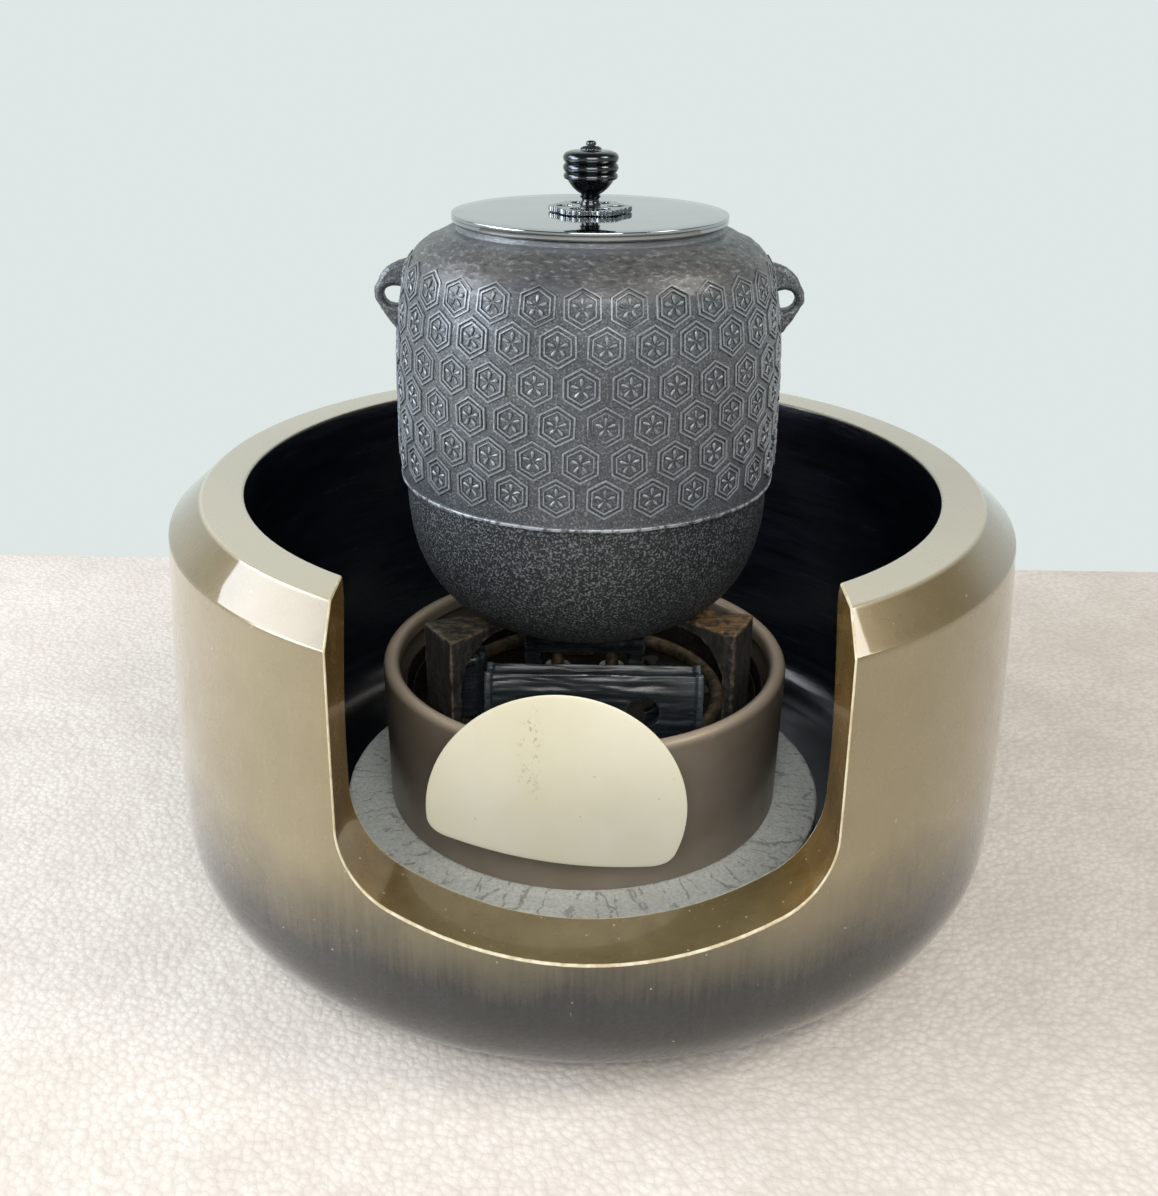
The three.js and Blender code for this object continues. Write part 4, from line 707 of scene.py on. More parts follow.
def casing():
    """The wall with its window: half of it as rows and columns of points, mirrored, with worn edges."""
    sill_r, sill_turn = 226, 18.34
    corner_x, corner_z, corner_r = 62.3, 104.3, 28
    half_window = corner_x + corner_r
    sill = [(sill_r * math.sin(math.radians(a)), 292.2 - sill_r * math.cos(math.radians(a)))
            for a in (sill_turn * i / 10 for i in range(11))]
    corner = [(corner_x + corner_r * math.sin(math.radians(a)), corner_z - corner_r * math.cos(math.radians(a)))
              for a in (sill_turn + (90 - sill_turn) * i / 12 for i in range(1, 13))]
    foot = sill + corner[:6]
    cheek = corner[5:]
    count = len(foot) - 1
    back = 56
    upright = 8
    under = [(0, 2.5), (55, 2.5), (110, 2.5), (150, 2.5)]
    under += [(160 + 30 * math.sin(a), KNEE_Z - 36.8 * math.cos(a)) for a in (i * math.pi / 28 for i in range(15))]
    fillet = 22
    floor = [(HOLLOW_R - fillet + fillet * math.cos(a), FLOOR_Z + fillet - fillet * math.sin(a))
             for a in (i * math.pi / 20 for i in range(11))]
    floor += [(r, FLOOR_Z) for r in (120, 80, 40, 0)]
    outside = [(side_r(z), z, x) for x, z in cheek]
    outside += [(side_r(z), z, half_window) for z in (corner_z + 62.7 * i / upright for i in range(1, upright + 1))]
    brow = rounded([(side_r(168), 168), (183.9, 173.6, 1.9), (169.5, RIM_Z, 2.2), (152, RIM_Z, 1.5), (151, 180)], 5)
    brow_rows = 17
    brow += [(hollow_r(z), z) for z in (176 - 60 * i / 10 for i in range(11))]
    outside += [(r, z, half_window) for r, z in brow]
    inside = [(HOLLOW_R, z, x) for x, z in reversed(cheek)]
    rows = outside + inside
    verts = []
    index = {}

    def point(r, azimuth, z):
        """The number of the point there, which is made once."""
        key = (round(r * math.sin(azimuth), 4), round(-r * math.cos(azimuth), 4), round(z, 4))
        if key not in index:
            index[key] = len(verts)
            verts.append(key)
        return index[key]

    def azimuth(k, r, x):
        """A column's angle: up to the window's edge at half width x, and then spread evenly to the rear."""
        first = math.asin(min(x / r, 1))
        return first + (math.pi - first) * (k - count) / back if k > count else first

    def skirt(base, top_r):
        """Columns from the middle of the underside, or of the floor, up to the sill's line."""
        steps = 6
        columns = []
        for k in range(count + back + 1):
            x, z = foot[min(k, count)]
            turn = azimuth(k, top_r(z), x)
            column = [point(r, turn, level) for r, level in base]
            start = base[-1][1]
            for j in range(1, steps + 1):
                level = start + (z - start) * j / steps
                column.append(point(top_r(level), turn, level))
            columns.append(column)
        return columns

    outer = skirt(under, side_r)
    inner = skirt(list(reversed(floor)), hollow_r)
    upper = [[point(r, azimuth(k, r, x), z) for k in range(count, count + back + 1)] for r, z, x in rows]
    faces = []
    skins = []

    def sheet(grid, skin):
        """Faces between neighbouring columns of points."""
        for first, second in zip(grid, grid[1:]):
            for a, b, c, d in zip(first, first[1:], second[1:], second):
                corners = list(dict.fromkeys((a, b, c, d)))
                if len(corners) > 2:
                    faces.append(corners)
                    skins.append(skin)

    sheet(outer, 0)
    sheet(inner, 1)
    rim_rows = len(cheek) + upright + brow_rows
    sheet(upper[:rim_rows], 0)
    sheet(upper[rim_rows - 1:], 1)
    sheet([[column[-1] for column in outer[:count + 1]], [column[-1] for column in inner[:count + 1]]], 2)
    line = [row[0] for row in upper]
    last = len(line) - 1
    for j in range(len(cheek) - 1):
        faces.append([line[j], line[j + 1], line[last - j - 1], line[last - j]])
        skins.append(2)
    faces.append(line[len(cheek) - 1:last - len(cheek) + 2])
    skins.append(2)

    mesh = bpy.data.meshes.new("casing")
    mesh.from_pydata([(x * MM, y * MM, z * MM) for x, y, z in verts], [], faces)
    mesh.polygons.foreach_set("material_index", skins)
    obj = bpy.data.objects.new("casing", mesh)
    bpy.context.scene.collection.objects.link(obj)
    for made in ("lacquer_outer", "lacquer_inside", "lacquer_cut", "lacquer_edge"):
        mesh.materials.append(MAT[made])
    mirror = obj.modifiers.new("mirror", "MIRROR")
    mirror.merge_threshold = 5e-6
    apply_all(obj)
    hold(obj)
    bpy.ops.object.mode_set(mode="EDIT")
    bpy.ops.mesh.select_all(action="SELECT")
    bpy.ops.mesh.remove_doubles(threshold=2e-6)
    bpy.ops.mesh.normals_make_consistent(inside=False)
    bpy.ops.mesh.select_all(action="DESELECT")
    shell = bmesh.from_edit_mesh(obj.data)
    for edge in shell.edges:
        met = {face.material_index for face in edge.link_faces}
        edge.select = len(met) == 2 and 2 in met
    bmesh.update_edit_mesh(obj.data)
    bpy.ops.mesh.bevel(offset=0.85 * MM, segments=3, material=3)
    deselect()
    drilled(obj, radius=9, low=140, high=200, side_x=UNIT_X, side_z=53)
    done(obj, "casing", "casing_shell", slot="lacquered_wood")
    evened = obj.modifiers.new("evened", "WEIGHTED_NORMAL")
    evened.keep_sharp = True
    apply_all(obj)
    return obj


casing()


# Board and heater

def board():
    """The round board, its edge a little crumbled and its top ringed finely so it can be uneven."""
    foot, top = 20.3, 26.0
    profile = [(0, foot), (60, foot), (114.6, foot), (115.4, 21.1), (115.5, 23.2), (115.2, 25.1), (114.2, 25.9)]
    profile += [(114.2 - 2.6 * i, top) for i in range(1, 43)] + [(0, top)]

    def chalky(p, normal):
        if normal.z > 0.5:
            return -0.12 + 0.16 * fbm(p, 4) + 0.1 * fbm(p, 14)
        return -0.2 + 0.35 * fbm(p, 5)

    obj = turned("chalky_board", profile, sides=180)
    relieve(obj, chalky)
    done(obj, "board", "insulation_board", materials=["mineral_board"], slot="mineral_board")


def ring():
    """The guard ring: an inward flange below, a wall, and a lip rolled in and down."""
    foot, low = 26.3, 27.1
    roll, wall = 3.75, 1.5
    middle, high = 95 - roll, 97.2 - roll
    turn = [math.pi * i / 14 for i in range(15)]
    profile = [(88, foot), (93.2, foot), (94, low)]
    profile += [(94 + i / 5, low + (high - low) * i / 5) for i in range(1, 5)]
    profile += [(middle + roll * math.cos(a), high + roll * math.sin(a)) for a in turn]
    profile += [(middle - roll, high - 3), (middle - roll + wall, high - 3)]
    profile += [(middle + (roll - wall) * math.cos(a), high + (roll - wall) * math.sin(a)) for a in reversed(turn)]
    profile += [(92.5, 30), (92.0, 27.8), (88, 27.8), (88, foot)]
    obj = turned("painted_ring", profile, sides=192)
    drilled(obj, radius=8, low=80, high=110, side_x=UNIT_X, side_z=42.3)
    done(obj, "unit", "guard_ring", materials=["ring_paint"], slot="painted_ring")


def pan():
    """The reflector pan, and the heat screen that stands in it and is open at the rear."""
    under, floor, rim = 58.2, 59.2, 83.2
    profile = [(0, under), (84.5, under), (85.3, 59.0), (85.3, 82.9), (85.1, rim), (84.5, rim), (84.3, 82.9)]
    profile += [(84.3, 60.2), (83.4, floor), (60, floor), (30, floor), (0, floor)]

    def dented(p, normal):
        return 0.12 * fbm(p, 18) if p[2] < 60 else 0.08 * fbm(p, 12)

    obj = turned("stained_pan", profile, sides=160)
    relieve(obj, dented)
    done(obj, "unit", "reflector_pan", materials=["heat_stained_and_shaded_steel"], slot="pan_steel")
    inner, outer, foot = 81.2, 82, 59.5
    profile = [(inner, foot), (outer, foot), (outer, 79.2), (81.6, 79.5), (inner, 79.2), (inner, foot)]
    half_gap = 14
    reach = 180 - math.degrees(math.asin(half_gap / outer))
    obj = turned("screen_sheet", profile, sides=140, start=-reach, sweep=2 * reach)
    done(obj, "unit", "heat_screen", materials=["heat_stained_and_shaded_steel"], slot="pan_steel")


def element():
    """The heating loop, its sheath a little scaly."""
    def scaly(p, normal):
        return 0.12 * fbm(p, 2.2)

    obj = cast("sheathed_loop", "element_tube", voxel=0.75, smoothing=8, relief=scaly)
    done(obj, "unit", "element_tube", materials=["element_sheath"], angle=180, slot="element_sheath")


def legs():
    """The trivet's three legs, with a pitted casting skin."""
    def rough(p, normal):
        return 0.3 * fbm(p, 7) + 0.22 * fbm(p, 2.2) - 0.1

    for side in ("left", "right", "rear"):
        obj = cast(f"iron_leg_{side}", f"trivet_leg_{side}", voxel=0.8, smoothing=3, relief=rough)
        done(obj, "unit", f"trivet_leg_{side}", materials=["trivet_iron"], angle=180, slot="trivet_iron")


def logs():
    """The imitation charcoal: bark along the front log, and split fibres on the stub and the rear log."""
    left, right = UNIT_X - 43.5, UNIT_X + 52.5
    lip_width = 4.2

    def bark(p, normal):
        """Ribs and fibres along the log, fainter behind, with a low lip round both ends."""
        x, y, z = p
        around = z + y * 0.5 + 2.4 * fbm((x, 0, z), 24, 2)
        rib = 0.75 * (0.3 - abs(fbm((x, 0, around), 5.0, 2, (11, 1, 1))))
        fibre = 0.14 * fbm(p, 1.9, 3, (10, 1, 1))
        ends = min(x - left, right - x)
        lip = min(1, max(0, lip_width - ends) / 1.2)
        side = 1 - min(1, abs(normal.x) * 1.3)
        front = 1 if y < -50 else 0.5
        return (rib * front * (1 if ends > lip_width else 0.3) + fibre + lip) * max(side, 0) - 0.35

    obj = cast("split_log", "charcoal_front", voxel=0.7, smoothing=2, relief=bark)
    done(obj, "unit", "charcoal_front", materials=["charcoal"], angle=180, slot="charcoal")

    def upright(p, normal):
        return 0.5 * fbm(p, 3.0, 3, (1, 1, 6)) + 0.4 * fbm(p, 9)

    obj = cast("upright_stub", "charcoal_stub", voxel=0.8, smoothing=4, relief=upright)
    done(obj, "unit", "charcoal_stub", materials=["charcoal"], angle=180, slot="charcoal")

    def split(p, normal):
        return 0.6 * fbm(p, 3.0, 3, (8, 1, 1)) + 0.5 * fbm(p, 10)

    obj = cast("rear_log", "charcoal_rear", voxel=0.9, smoothing=3, relief=split)
    done(obj, "unit", "charcoal_rear", materials=["charcoal"], angle=180, slot="charcoal")


def tile():
    """An upright plate cut off by a shallow arc; its rim slopes in towards the back, so its edge looks thin."""
    radius, middle_z, side_z = 53.5, 19, 6
    start = math.asin((side_z - middle_z) / radius)
    line = []
    for i in range(61):
        angle = start + i / 60 * (math.pi - 2 * start)
        line.append((radius * math.cos(angle), middle_z + radius * math.sin(angle)))
    side, corner, foot = line[0][0], 49.7, 41.7

    def arc(x):
        """The lower edge's height, which sags by 6.5 mm at the middle."""
        return -6.5 * (1 - (x / 47.7) ** 2)

    turn = [((1 - t) ** 2 * side + 2 * t * (1 - t) * corner + t * t * foot,
             (1 - t) ** 2 * side_z + t * t * arc(foot)) for t in (0.15, 0.3, 0.45, 0.6, 0.75, 0.9)]
    line += [(-x, z) for x, z in turn]
    line += [(x, arc(x)) for x in (-foot + i / 24 * 2 * foot for i in range(25))]
    line += reversed(turn)
    lean = math.radians(9.1)
    place_x, place_y, place_z = -15.6, -106.0, 56.4
    deselect()
    bpy.ops.mesh.primitive_circle_add(vertices=len(line), radius=MM, fill_type="NGON", location=(0, 0, 0))
    obj = bpy.context.object
    obj.name = obj.data.name = "cream_tile"
    for v, (x, z) in zip(obj.data.vertices, line):
        across = x * math.cos(lean) + z * math.sin(lean)
        upward = z * math.cos(lean) - x * math.sin(lean)
        v.co = Vector((across + place_x, place_y, upward + place_z)) * MM
    hold(obj)
    bpy.ops.object.mode_set(mode="EDIT")
    bpy.ops.mesh.select_all(action="SELECT")
    bpy.ops.mesh.inset(thickness=2.0 * MM)
    bpy.ops.mesh.select_all(action="DESELECT")
    bpy.ops.mesh.select_non_manifold()
    middle = (-12.6 * MM, 0, 75 * MM)
    for back, share in ((0.7, 1.0), (7.3, 0.9)):
        bpy.ops.mesh.extrude_edges_move(TRANSFORM_OT_translate={"value": (0, back * MM, 0)})
        bpy.ops.transform.resize(value=(share, 1, share), center_override=middle)
    bpy.ops.mesh.fill()
    bpy.ops.mesh.select_all(action="SELECT")
    bpy.ops.mesh.normals_make_consistent(inside=False)
    deselect()
    rim = obj.modifiers.new("rim", "BEVEL")
    rim.width = 0.55 * MM
    rim.segments = 3
    rim.limit_method = "ANGLE"
    rim.angle_limit = math.radians(35)
    apply_all(obj)
    done(obj, "tile", "front_tile", materials=["pale_clay"], slot="pale_clay")


board()
ring()
pan()
element()
legs()
logs()
tile()


# Kettle

BODY_LINE = [(82.0, 190.2), (82.0, 212), (81.6, 236), (80.6, 252), (79.6, 261), (78.4, 267.5), (77.4, 275.5),
             (76.2, 278.4), (74.4, 281.1), (72.4, 283.5), (70.1, 285.7), (67.4, 287.4), (64.5, 288.6),
             (61.7, 290.1), (59.1, 291.4)]


def bowl_line(radius, depth, count):
    """The bowl from its seam down to its middle, fuller than an ellipse."""
    line = []
    for i in range(count):
        t = math.sin(i / (count - 1) * math.pi / 2)
        line.append((radius * (1 - t ** 2.72) ** (1 / 2.59), SEAM_Z - depth * t))
    return line


def kettle():
    """The body in one turn: bowl, seam, wall, shoulder, collar and inside, with a cast skin outside."""
    outside = bowl_line(79.7, 71.9, 40)[::-1][:-1]
    outside += rounded([(79.7, 187.0), (79.8, 187.6, 0.2), (82.2, 187.5, 0.4), (82.3, 188.7, 0.4), (81.9, 189.3),
                        (82.0, 190.2)], 3)
    outside += smooth_line(BODY_LINE, 5)[1:]
    outside += rounded([(58.0, 291.6), (55.6, 291.9, 0.8), (55.3, 294.4, 0.6), (51.2, 294.4, 0.6), (51.2, 288)], 3)
    inside = [(52.5, 287.4), (60, 284.2), (67, 280.0), (71.5, 275.5), (73.6, 268), (77.0, 240), (77.8, 200)]
    inside += bowl_line(75.7, 67.9, 16)
    obj = turned("kettle_shell", outside + inside, sides=240)
    bowl_top, lip_top, collar_z, collar_r, shoulder_z = 187.2, 190.6, 291, 57, 268

    def skin(p, normal):
        """Coarse below the seam, fine on the wall and coarser again over the shoulder; smooth inside."""
        x, y, z = p
        r = math.hypot(x - UNIT_X, y)
        outward = normal.x * (x - UNIT_X) + normal.y * y + normal.z * (z - 200) * 0.4 > 0
        if not outward:
            return 0
        if z < bowl_top:
            return 0.28 * fbm(p, 2.6, 4) + 0.14 * fbm(p, 7)
        if z < lip_top:
            return 0.4 * fbm(p, 6, 3) - 0.15
        if z > collar_z or r < collar_r:
            return 0.22 * fbm(p, 4, 3)
        ramp = min(max((z - shoulder_z) / 16, 0), 1)
        return (0.1 + 0.16 * ramp) * fbm(p, 3.4, 3) + 0.2 * ramp * fbm(p, 9)

    relieve(obj, skin)
    done(obj, "kettle", "kettle_body", materials=["kettle_iron", "bowl_iron"], angle=50, slot="kettle_iron")
    for face in obj.data.polygons:
        if face.center.z < 187.0 * MM:
            face.material_index = 1


def hexagon_line(radius, wide, high):
    """One raised line round a hexagon that stands on a corner, drawn flat about the origin."""
    deselect()
    sunk = -0.3
    foot, crest = wide / 2, wide / 5
    steps = [(radius - foot, sunk), (radius - crest, high), (radius + crest, high), (radius + foot, sunk)]
    r, z = steps[0]
    bpy.ops.mesh.primitive_circle_add(vertices=6, radius=r * MM, location=(0, 0, z * MM))
    bpy.ops.object.transform_apply(location=True)
    bpy.ops.object.mode_set(mode="EDIT")
    bpy.ops.mesh.select_all(action="SELECT")
    for wider, higher in steps[1:]:
        bpy.ops.mesh.extrude_edges_move()
        share = wider / r
        bpy.ops.transform.resize(value=(share, share, 1), center_override=(0, 0, 0))
        bpy.ops.transform.translate(value=(0, 0, (higher - z) * MM))
        r, z = wider, higher
    deselect()
    return bpy.context.view_layer.objects.active


def petal(turn):
    """One drop-shaped petal with a blunt crest, narrow at the flower's middle."""
    deselect()
    bpy.ops.mesh.primitive_circle_add(vertices=10, radius=MM, fill_type="NGON", location=(0, 0, 0))
    obj = bpy.context.object
    half_width, middle, half_length, sunk = 1.25, 2.45, 1.9, -0.3
    for v in obj.data.vertices:
        along = v.co.y / MM
        v.co.x *= half_width * (0.66 + 0.34 * along)
        v.co.y = (middle + half_length * along) * MM
        v.co.z = sunk * MM
    hold(obj)
    bpy.ops.object.mode_set(mode="EDIT")
    bpy.ops.mesh.select_all(action="SELECT")
    for higher, narrower, shorter in ((0.95, 0.72, 0.85), (0.35, 0.2, 0.7)):
        bpy.ops.mesh.extrude_region_move(TRANSFORM_OT_translate={"value": (0, 0, higher * MM)})
        bpy.ops.transform.resize(value=(narrower, shorter, 1), center_override=(0, 2.6 * MM, 0))
    bpy.ops.mesh.select_all(action="SELECT")
    bpy.ops.transform.rotate(value=math.radians(turn), orient_axis="Z", center_override=(0, 0, 0))
    deselect()
    return obj


def ornament():
    """The double hexagon and its flower as points and faces in millimetres."""
    pieces = [hexagon_line(radius=7.75, wide=1.7, high=0.95), hexagon_line(radius=5.8, wide=1.4, high=0.85)]
    pieces += [petal(72 * i) for i in range(5)]
    points = []
    faces = []
    for piece in pieces:
        hold(piece)
        bpy.ops.object.mode_set(mode="EDIT")
        bpy.ops.mesh.select_all(action="SELECT")
        bpy.ops.mesh.normals_make_consistent(inside=False)
        deselect()
        base = len(points)
        points += [v.co / MM for v in piece.data.vertices]
        faces += [[base + i for i in face.vertices] for face in piece.data.polygons]
        bpy.data.objects.remove(piece)
    return points, faces


def ornaments():
    """Six rows of the ornament laid on the wall's line, each one a little shifted, turned and worn by its own."""
    heights = (274.2, 259.9, 244.9, 229.4, 215.2, 199.8)
    starts = (-1.4, -7.8) * 3
    cells = 28
    seeded = random.Random(7)
    line = smooth_line(BODY_LINE, 12)
    along = [0.0]
    for (r0, z0), (r1, z1) in zip(line, line[1:]):
        along.append(along[-1] + math.hypot(r1 - r0, z1 - z0))

    def on_line(s):
        """The radius, height and outward direction at a length along the wall's line."""
        i = next((i for i in range(1, len(along)) if along[i] >= s), len(along) - 1)
        t = (s - along[i - 1]) / (along[i] - along[i - 1])
        (r0, z0), (r1, z1) = line[i - 1], line[i]
        step = Vector((r1 - r0, z1 - z0)).normalized()
        return r0 + (r1 - r0) * t, z0 + (z1 - z0) * t, step.y, -step.x

    points, faces = ornament()
    for row, (z, first) in enumerate(zip(heights, starts)):
        middle = next(along[i] for i in range(len(line)) if line[i][1] >= z)
        middle_r = on_line(middle)[0]
        verts = []
        quads = []
        rise = []
        for cell in range(cells):
            slip = Vector((seeded.uniform(-0.35, 0.35), seeded.uniform(-0.35, 0.35)))
            turn = Matrix.Rotation(math.radians(seeded.uniform(-2.5, 2.5)), 2)
            tall = seeded.uniform(0.6, 0.95) if row == 0 else seeded.uniform(0.75, 1.1)
            wear = seeded.uniform(-40, 40)
            base = len(verts)
            for p in points:
                flat = turn @ Vector((p.x, p.y)) + slip
                r, level, out, up = on_line(middle + flat.y)
                high = p.z * tall if p.z > 0 else p.z
                if p.z > 0:
                    high -= 0.5 * max(0, fbm((p.x + wear, p.y, cell + 9 * row), 5))
                azimuth = math.radians(first + cell * 360 / cells) + flat.x / middle_r
                rise.append(high)
                r += high * out
                side, depth = UNIT_X + r * math.sin(azimuth), -r * math.cos(azimuth)
                verts.append((side * MM, depth * MM, (level + high * up) * MM))
            quads += [[base + i for i in face] for face in faces]
        name = f"hexagon_row_{row + 1}"
        mesh = bpy.data.meshes.new(name)
        mesh.from_pydata(verts, [], quads)
        obj = bpy.data.objects.new(name, mesh)
        bpy.context.scene.collection.objects.link(obj)
        mesh.attributes.new("rise", "FLOAT", "POINT").data.foreach_set("value", rise)
        done(obj, "kettle", materials=["raised_iron"], angle=30, slot="kettle_iron")


def lugs():
    """The two cast loops for the handle, rough from the mould."""
    def knobbly(p, normal):
        return 0.16 * fbm(p, 1.6) + 0.2 * fbm(p, 4)

    for side in ("left", "right"):
        obj = cast(f"cast_loop_{side}", f"kettle_lug_{side}", voxel=0.42, smoothing=9, relief=knobbly)
        done(obj, "kettle", f"kettle_lug_{side}", materials=["kettle_iron"], angle=180, slot="kettle_iron")


kettle()
ornaments()
lugs()


# Lid and knob

def lid():
    """The lid's disc with a fine groove round its edge, and the flange that centres it in the collar."""
    bore, under, top, edge = 1.9, 294.7, 298.2, 57.3
    profile = [(bore, under), (48, under), (48, 287.9), (48.3, 287.7), (50.0, 287.7), (50.4, 289.5), (50.4, 294.3)]
    profile += rounded([(50.7, under), (57.0, under, 0.3), (edge, 295.4, 0.3), (edge, 296.6), (57.05, 296.75),
                        (edge, 296.9), (edge, top, 0.5), (50, top), (30, top), (17, top), (bore, top),
                        (bore, under)], 3)
    obj = turned("polished_lid", profile, sides=200)
    done(obj, "lid", "kettle_lid", materials=["lid_bronze_painted_reflection"], slot="black_bronze")


def knob():
    """The knob's stem, cup and three beads, the rosette on it, and the pin through them all."""
    beads = [(1.9, 300.8), (4.3, 300.8), (4.4, 301.4), (3.8, 302.1), (3.5, 303.2), (3.6, 303.6), (4.2, 303.9),
             (4.3, 304.4), (3.8, 304.8), (4.0, 305.3), (5.6, 306.2), (7.4, 307.8), (8.8, 309.6), (9.6, 310.9),
             (10.2, 311.0), (11.0, 311.5), (11.2, 312.4), (10.8, 313.3), (10.2, 313.7), (10.9, 314.2),
             (11.35, 315.2), (11.35, 316.0), (10.9, 317.0), (10.2, 317.5), (11.0, 318.0), (11.4, 319.2),
             (11.3, 320.2), (10.4, 321.3), (8.4, 322.0), (6.0, 322.2), (1.9, 322.2), (1.9, 300.8)]
    obj = turned("beaded_knob", beads, sides=96)
    done(obj, "knob", "lid_knob", materials=["black_bronze"], angle=60, slot="black_bronze")
    flower = [(1.9, 322.5), (4.3, 322.5), (4.4, 322.8), (4.1, 323.2), (3.3, 323.6), (2.6, 323.8), (1.9, 323.8),
              (1.9, 322.5)]
    obj = turned("small_rosette", flower, sides=96)

    def petals(p, normal):
        """Sixteen notches that part the rosette's rim into petals."""
        azimuth = math.atan2(p[1], p[0] - UNIT_X)
        r = math.hypot(p[1], p[0] - UNIT_X)
        return -0.32 * (1 - abs(math.sin(azimuth * 8))) ** 2 if r > 2.4 and p[2] > 322.6 else 0

    relieve(obj, petals)
    done(obj, "lid", "knob_rosette", materials=["black_bronze"], angle=60, slot="black_bronze")
    pin = [(0, 290.4), (4, 290.4), (4, 294.4), (1.5, 294.4), (1.5, 324.1), (2.0, 324.2), (2.1, 324.8), (1.9, 325.5),
           (1.2, 325.9), (0, 326.0)]
    obj = turned("pin_button", pin, sides=40)
    done(obj, "lid", "knob_pin", materials=["black_bronze"], angle=60, slot="black_bronze")


def seat():
    """The openwork ring under the knob, with upright flutes round its outside."""
    flutes, flute_depth, outer_r = 42, 0.28, 12.6

    def ribbed(p, normal):
        x, y, z = p
        azimuth = math.atan2(y, x - UNIT_X)
        r = math.hypot(y, x - UNIT_X)
        if r > outer_r and abs(normal.z) < 0.7:
            return flute_depth * math.cos(azimuth * flutes)
        return 0

    obj = cast("openwork_seat", "knob_seat", voxel=0.32, smoothing=3, relief=ribbed)
    done(obj, "lid", "knob_seat", materials=["seat_bronze_painted_reflection"], angle=180, slot="black_bronze")


lid()
knob()
seat()


# CAD pieces that keep their own shape

KEPT = {
    "rubber": ["pad_front", "pad_right", "pad_left", "cord_bush", "cord_gland"],
    "plain_steel": ["base_plate", "pan_spacer_1", "pan_spacer_2", "pan_spacer_3", "tie_bolt_1", "tie_bolt_2",
                    "tie_bolt_3", "tie_nut_1", "tie_nut_2", "tie_nut_3", "terminal_screw_1", "terminal_screw_2",
                    "element_clip_1", "element_clip_2", "element_clip_3", "leg_rivet_1", "leg_rivet_2",
                    "leg_rivet_3", "tile_hook", "tile_rivet_1", "tile_rivet_2", "thermal_cutout"],
    "porcelain": ["terminal_block", "element_bush_1", "element_bush_2", "cord_clamp"],
    "sleeving": ["lead_left", "lead_right"],
}
for finish_name, names in KEPT.items():
    for node_name in names:
        mesh = frame["nodes"][node_name].data
        mesh.materials.clear()
        mesh.materials.append(MAT[finish_name])


# Floor, backdrop, light and camera

def carpet(tree):
    """Pale wool carpet, faintly mottled, its loops about three millimetres apart, with painted shade between the
    loops.
    """
    loops = pattern(tree, "TexVoronoi", 3.2)
    share = node(tree, "MapRange", [pattern(tree, "TexNoise", 60, Detail=5.0, Roughness=0.6), 0.35, 0.65])
    colour = node(tree, "Mix", {0: share, 6: "#CBC4BB", 7: "#D7D1C9"}, data_type="RGBA")
    # Painted shade: darker in the gaps between the loops.
    share = node(tree, "MapRange", [loops, 0.3, 0.75, 0.0, 0.45])
    colour = node(tree, "Mix", {0: share, 6: colour, 7: "#BDB3A8"}, data_type="RGBA")
    share = node(tree, "Math", [loops, -1.0], operation="MULTIPLY")
    height = node(tree, "Bump", {"Strength": 0.45, "Distance": 0.9 * MM, "Height": share})
    marks = pattern(tree, "TexNoise", 1.6, Detail=3.0, Roughness=0.55)
    normal = node(tree, "Bump", {"Strength": 0.4, "Distance": 0.4 * MM, "Height": marks, "Normal": height})
    return {"Base Color": colour, "Normal": normal}


def stage():
    """The carpeted floor, 6 m wide and ending a little behind the object as a floor against a wall does."""
    near, far, wide = -3, 0.335, 6
    deselect()
    bpy.ops.mesh.primitive_plane_add(size=1, location=(0, 0, 0))
    floor = bpy.context.object
    floor.name = "floor"
    for v in floor.data.vertices:
        v.co.x *= wide
        v.co.y = far if v.co.y > 0 else near
    floor.data.materials.append(material("carpet", carpet, Roughness=0.95))


def softbox(name, place, aim, wide, high, power, colour):
    """A rectangular lamp that faces a point."""
    lamp = bpy.data.lights.new(name, "AREA")
    lamp.shape = "RECTANGLE"
    lamp.size = wide
    lamp.size_y = high
    lamp.energy = power
    lamp.color = lin(colour)[:3]
    obj = bpy.data.objects.new(name, lamp)
    obj.location = place
    obj.rotation_euler = (Vector(aim) - Vector(place)).to_track_quat("-Z", "Y").to_euler()
    bpy.context.scene.collection.objects.link(obj)
    return obj


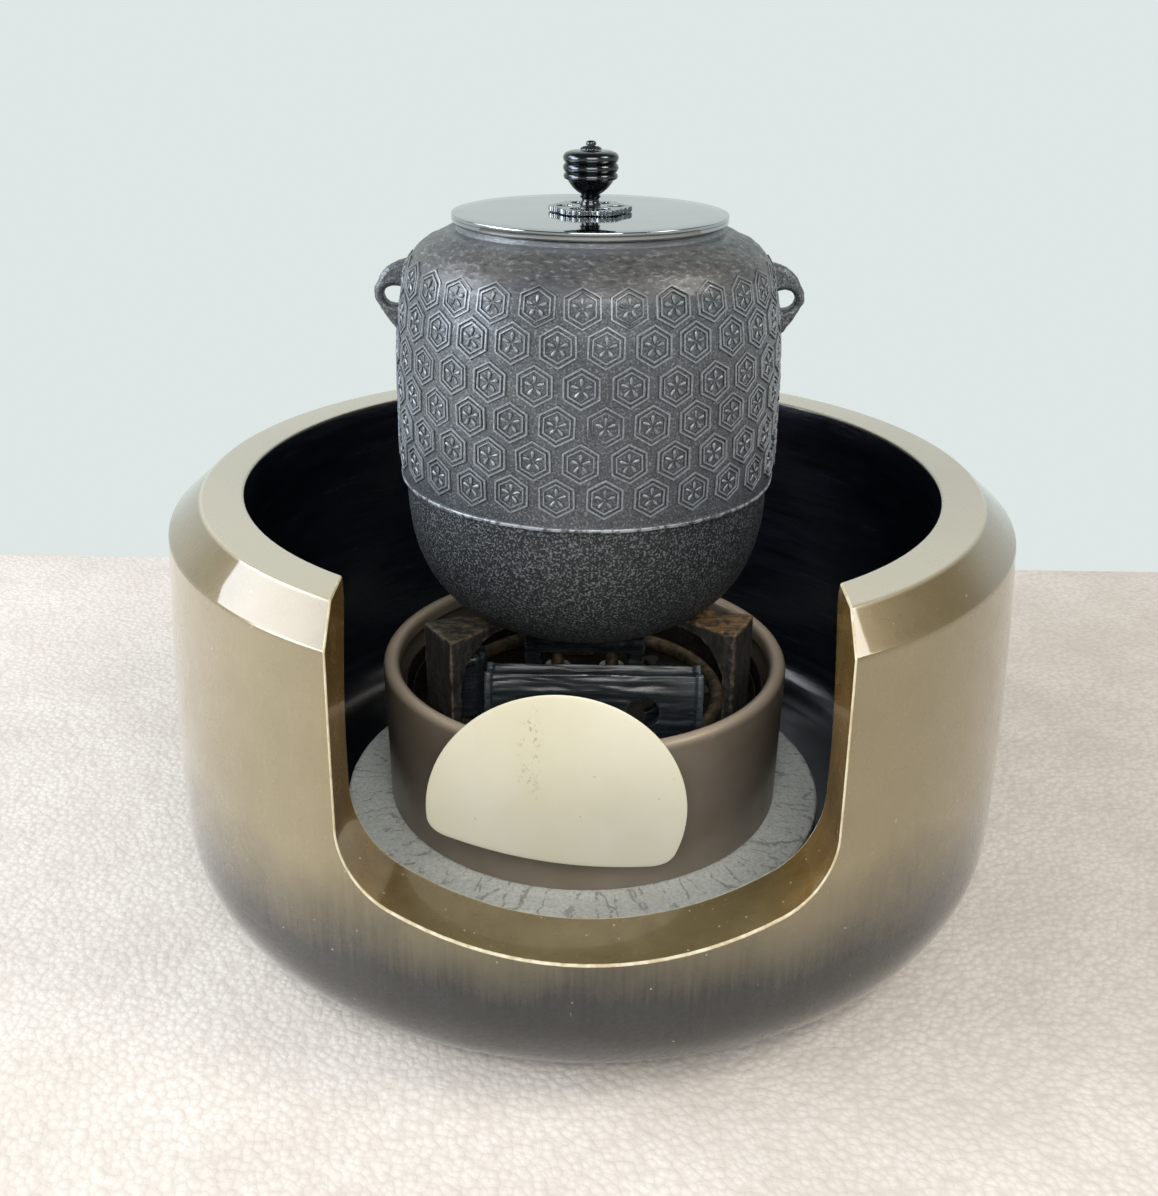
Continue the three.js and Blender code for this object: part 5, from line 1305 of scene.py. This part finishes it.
def world():
    """A pale cool backdrop behind the object and near the horizon, with a dim ceiling in what shines back."""
    made = bpy.data.worlds.new("studio")
    made.use_nodes = True
    tree = made.node_tree
    tree.nodes.clear()
    shiny = node(tree, "LightPath", out="Is Glossy Ray")
    through = node(tree, "LightPath", out="Is Transmission Ray")
    mirrored = node(tree, "Math", [shiny, through], operation="ADD")
    way = node(tree, "TexCoord", out="Generated")
    high = node(tree, "MapRange", [node(tree, "SeparateXYZ", [way], "Z"), 0.2, 0.42])
    near = node(tree, "MapRange", [node(tree, "SeparateXYZ", [way], "Y"), 0.75, 0.5])
    above = node(tree, "Math", [high, near], operation="MULTIPLY")
    ceiling = node(tree, "Math", [above, mirrored], operation="MULTIPLY")
    pale = node(tree, "Mix", {0: ceiling, 6: "#DEE7E5", 7: "#6D6C66"}, data_type="RGBA")
    shown = node(tree, "Background", {"Color": pale, "Strength": 1.0})
    lit = node(tree, "Background", {"Color": "#EDF1F2", "Strength": 0.44})
    seen = node(tree, "Math", [node(tree, "LightPath", out="Is Camera Ray"), mirrored], operation="ADD")
    node(tree, "OutputWorld", {"Surface": node(tree, "MixShader", [seen, lit, shown])})
    bpy.context.scene.world = made


def camera():
    """The photograph's view, as fitted to the object's round edges."""
    place = (0, -0.5549, 0.3732)
    yaw, pitch, roll = -0.00956, 0.42348, 0.01089
    forward = Vector((math.sin(yaw) * math.cos(pitch), math.cos(yaw) * math.cos(pitch), -math.sin(pitch)))
    level = Vector((math.cos(yaw), -math.sin(yaw), 0))
    upward = level.cross(forward)
    right = level * math.cos(roll) + upward * math.sin(roll)
    up = upward * math.cos(roll) - level * math.sin(roll)
    lens = bpy.data.cameras.new("camera")
    lens.sensor_width = 36
    lens.lens = 39.13
    lens.clip_end = 20
    obj = bpy.data.objects.new("camera", lens)
    turn = Matrix((right, up, -forward)).transposed()
    obj.matrix_world = Matrix.Translation(place) @ turn.to_4x4()
    bpy.context.scene.collection.objects.link(obj)
    bpy.context.scene.camera = obj


stage()
softbox("window_left", (-1.2, 0.16, 1.0), (0, 0, 0.15), 0.7, 0.55, 8.5, "#F2F7FF")
softbox("key", (-1.4, -0.42, 0.7), (0, 0, 0.15), 0.8, 0.8, 23, "#F0F6FF")
softbox("front", (0.15, -1.5, 1.2), (0, 0, 0.1), 1.2, 0.85, 21.5, "#FFFDFA")
softbox("overhead_right", (1.2, -0.3, 1.4), (0.5, -0.1, 0), 0.6, 0.6, 12, "#FFF9F0")
world()
camera()

bpy.context.scene.view_settings.view_transform = "Standard"
